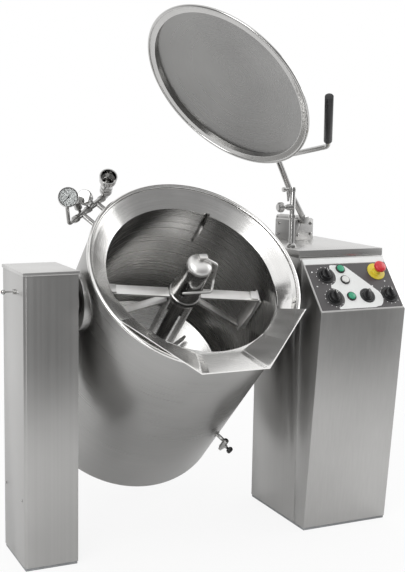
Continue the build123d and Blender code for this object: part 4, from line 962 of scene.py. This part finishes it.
class KETTLE_OT_stage(bpy.types.Operator):
    """Floor, studio light and camera"""
    bl_idname = "kettle.stage"
    bl_label = "Stage"

    def execute(self, context):
        self.world(context)
        self.floor(context)
        self.lamps(context)
        self.camera(context)
        context.scene.view_settings.view_transform = "Standard"
        return {"FINISHED"}

    def world(self, context):
        world = bpy.data.worlds.new("studio")
        context.scene.world = world
        world.use_nodes = True
        tree = world.node_tree
        tree.nodes.clear()
        coords = node_at(tree, "ShaderNodeTexCoord")
        away = node_at(tree, "ShaderNodeVectorMath", operation="DOT_PRODUCT")
        away.inputs[1].default_value = (0.43, 0.90, 0.0)
        tree.links.new(coords.outputs["Generated"], away.inputs[0])
        split = node_at(tree, "ShaderNodeSeparateXYZ")
        tree.links.new(coords.outputs["Generated"], split.inputs[0])
        wall = ranged(tree, away.outputs["Value"], context.scene.kettle_stage.room, 1.0, -0.25, 0.55)
        ceiling = ranged(tree, split.outputs[2], 0.0, 0.95, 0.35, 0.75)
        graded = node_at(tree, "ShaderNodeMath", operation="MAXIMUM")
        tree.links.new(wall, graded.inputs[0])
        tree.links.new(ceiling, graded.inputs[1])
        ray = node_at(tree, "ShaderNodeLightPath")
        mix = node_at(tree, "ShaderNodeMix", data_type="FLOAT")
        tree.links.new(ray.outputs["Is Camera Ray"], mix.inputs["Factor"])
        tree.links.new(graded.outputs[0], mix.inputs["A"])
        mix.inputs["B"].default_value = 1.0
        light = node_at(tree, "ShaderNodeBackground")
        light.inputs["Color"].default_value = (1, 1, 1, 1)
        tree.links.new(mix.outputs["Result"], light.inputs["Strength"])
        output = node_at(tree, "ShaderNodeOutputWorld")
        tree.links.new(light.outputs[0], output.inputs["Surface"])

    def floor(self, context):
        put_down()
        bpy.ops.mesh.primitive_circle_add(vertices=96, radius=3.4, fill_type="NGON", location=(0, 0, -0.0004))
        floor = bpy.context.object
        floor.name = floor.data.name = "floor"
        bpy.ops.object.transform_apply(location=True, rotation=True, scale=True)
        material, tree, shader = fresh("floor_pale")
        shader.inputs["Base Color"].default_value = (*context.scene.kettle_stage.floor, 1)
        shader.inputs["Roughness"].default_value = 0.7
        vector = object_coords(tree, None)
        distance = node_at(tree, "ShaderNodeVectorMath", operation="LENGTH")
        tree.links.new(vector, distance.inputs[0])
        fade = ranged(tree, distance.outputs["Value"], 0.0, 1.0, 1.3, 3.1)
        ray = node_at(tree, "ShaderNodeLightPath")
        white = node_at(tree, "ShaderNodeEmission")
        white.inputs["Strength"].default_value = 1.0
        seen = node_at(tree, "ShaderNodeMath", operation="MULTIPLY_ADD")
        tree.links.new(ray.outputs["Is Glossy Ray"], seen.inputs[0])
        seen.inputs[1].default_value = 0.2
        tree.links.new(ray.outputs["Is Camera Ray"], seen.inputs[2])
        lift = node_at(tree, "ShaderNodeMath", operation="MULTIPLY")
        lift.inputs[1].default_value = 0.88
        tree.links.new(seen.outputs[0], lift.inputs[0])
        lifted = node_at(tree, "ShaderNodeMixShader")
        tree.links.new(lift.outputs[0], lifted.inputs[0])
        tree.links.new(shader.outputs[0], lifted.inputs[1])
        tree.links.new(white.outputs[0], lifted.inputs[2])
        clear = node_at(tree, "ShaderNodeBsdfTransparent")
        faded = node_at(tree, "ShaderNodeMixShader")
        tree.links.new(fade, faded.inputs[0])
        tree.links.new(lifted.outputs[0], faded.inputs[1])
        tree.links.new(clear.outputs[0], faded.inputs[2])
        tree.links.new(faded.outputs[0], tree.nodes["Material Output"].inputs["Surface"])
        floor.data.materials.append(material)

    def lamps(self, context):
        stage = context.scene.kettle_stage
        for name, where, size, power in (
            ("key", (-2.6, -2.4, 2.9), 2.4, stage.key), ("fill", (2.9, -0.6, 2.1), 1.6, stage.fill),
            ("left_strip", (-2.3, -2.5, 0.7), 0.30, stage.fill * 0.5),
        ):
            data = bpy.data.lights.new(name, "AREA")
            data.shape = "RECTANGLE"
            data.size = size
            data.size_y = max(size, 2.0)
            data.energy = power
            lamp = bpy.data.objects.new(name, data)
            context.scene.collection.objects.link(lamp)
            lamp.location = where
            lamp.rotation_euler = (Vector((0, -0.1, 0.7)) - Vector(where)).to_track_quat("-Z", "Y").to_euler()

    def camera(self, context):
        data = bpy.data.cameras.new("camera")
        data.lens = 66.57
        data.sensor_fit = "VERTICAL"
        data.sensor_height = 36.0
        camera = bpy.data.objects.new("camera", data)
        context.scene.collection.objects.link(camera)
        yaw, pitch, roll = radians(25.49), radians(8.10), radians(1.02)
        ahead = Vector((sin(yaw) * cos(pitch), cos(yaw) * cos(pitch), -sin(pitch)))
        level = Vector((cos(yaw), -sin(yaw), 0))
        up = level.cross(ahead)
        right = level * cos(roll) + up * sin(roll)
        up = up * cos(roll) - level * sin(roll)
        turned = Matrix((right, up, -ahead)).transposed().to_4x4()
        camera.matrix_world = Matrix.Translation((-1.3932, -3.10925, 1.2562)) @ turned
        context.scene.camera = camera


OPERATORS = (
    KETTLE_OT_stage, KETTLE_OT_body, KETTLE_OT_rim, KETTLE_OT_bowl, KETTLE_OT_fittings, KETTLE_OT_mixer,
    KETTLE_OT_lid, KETTLE_OT_left_pillar, KETTLE_OT_right_pillar, KETTLE_OT_panel, KETTLE_OT_controls,
    KETTLE_OT_tap, KETTLE_OT_hidden,
)
GROUPS = {"kettle_steel": KettleSteel, "kettle_panel": KettlePanel, "kettle_stage": KettleStage}


class KETTLE_PT_maker(bpy.types.Panel):
    """Lists the kettle's pieces and the sizes and colours that may be changed"""
    bl_idname = "KETTLE_PT_maker"
    bl_label = "Steam kettle"
    bl_space_type = "VIEW_3D"
    bl_region_type = "UI"
    bl_category = "Kettle"

    def draw(self, context):
        column = self.layout.column()
        for group, kind in GROUPS.items():
            for field in kind.__annotations__:
                column.prop(getattr(context.scene, group), field)
        for operator in OPERATORS:
            column.operator(operator.bl_idname)


def register():
    for kind in (*GROUPS.values(), *OPERATORS, KETTLE_PT_maker):
        bpy.utils.register_class(kind)
    for group, kind in GROUPS.items():
        setattr(bpy.types.Scene, group, bpy.props.PointerProperty(type=kind))


def unregister():
    for group in GROUPS:
        delattr(bpy.types.Scene, group)
    for kind in reversed((*GROUPS.values(), *OPERATORS, KETTLE_PT_maker)):
        bpy.utils.unregister_class(kind)


def main():
    register()
    put_down()
    for operator in OPERATORS:
        group, action = operator.bl_idname.split(".")
        getattr(getattr(bpy.ops, group), action)()
    put_down()


if __name__ == "__main__":
    main()
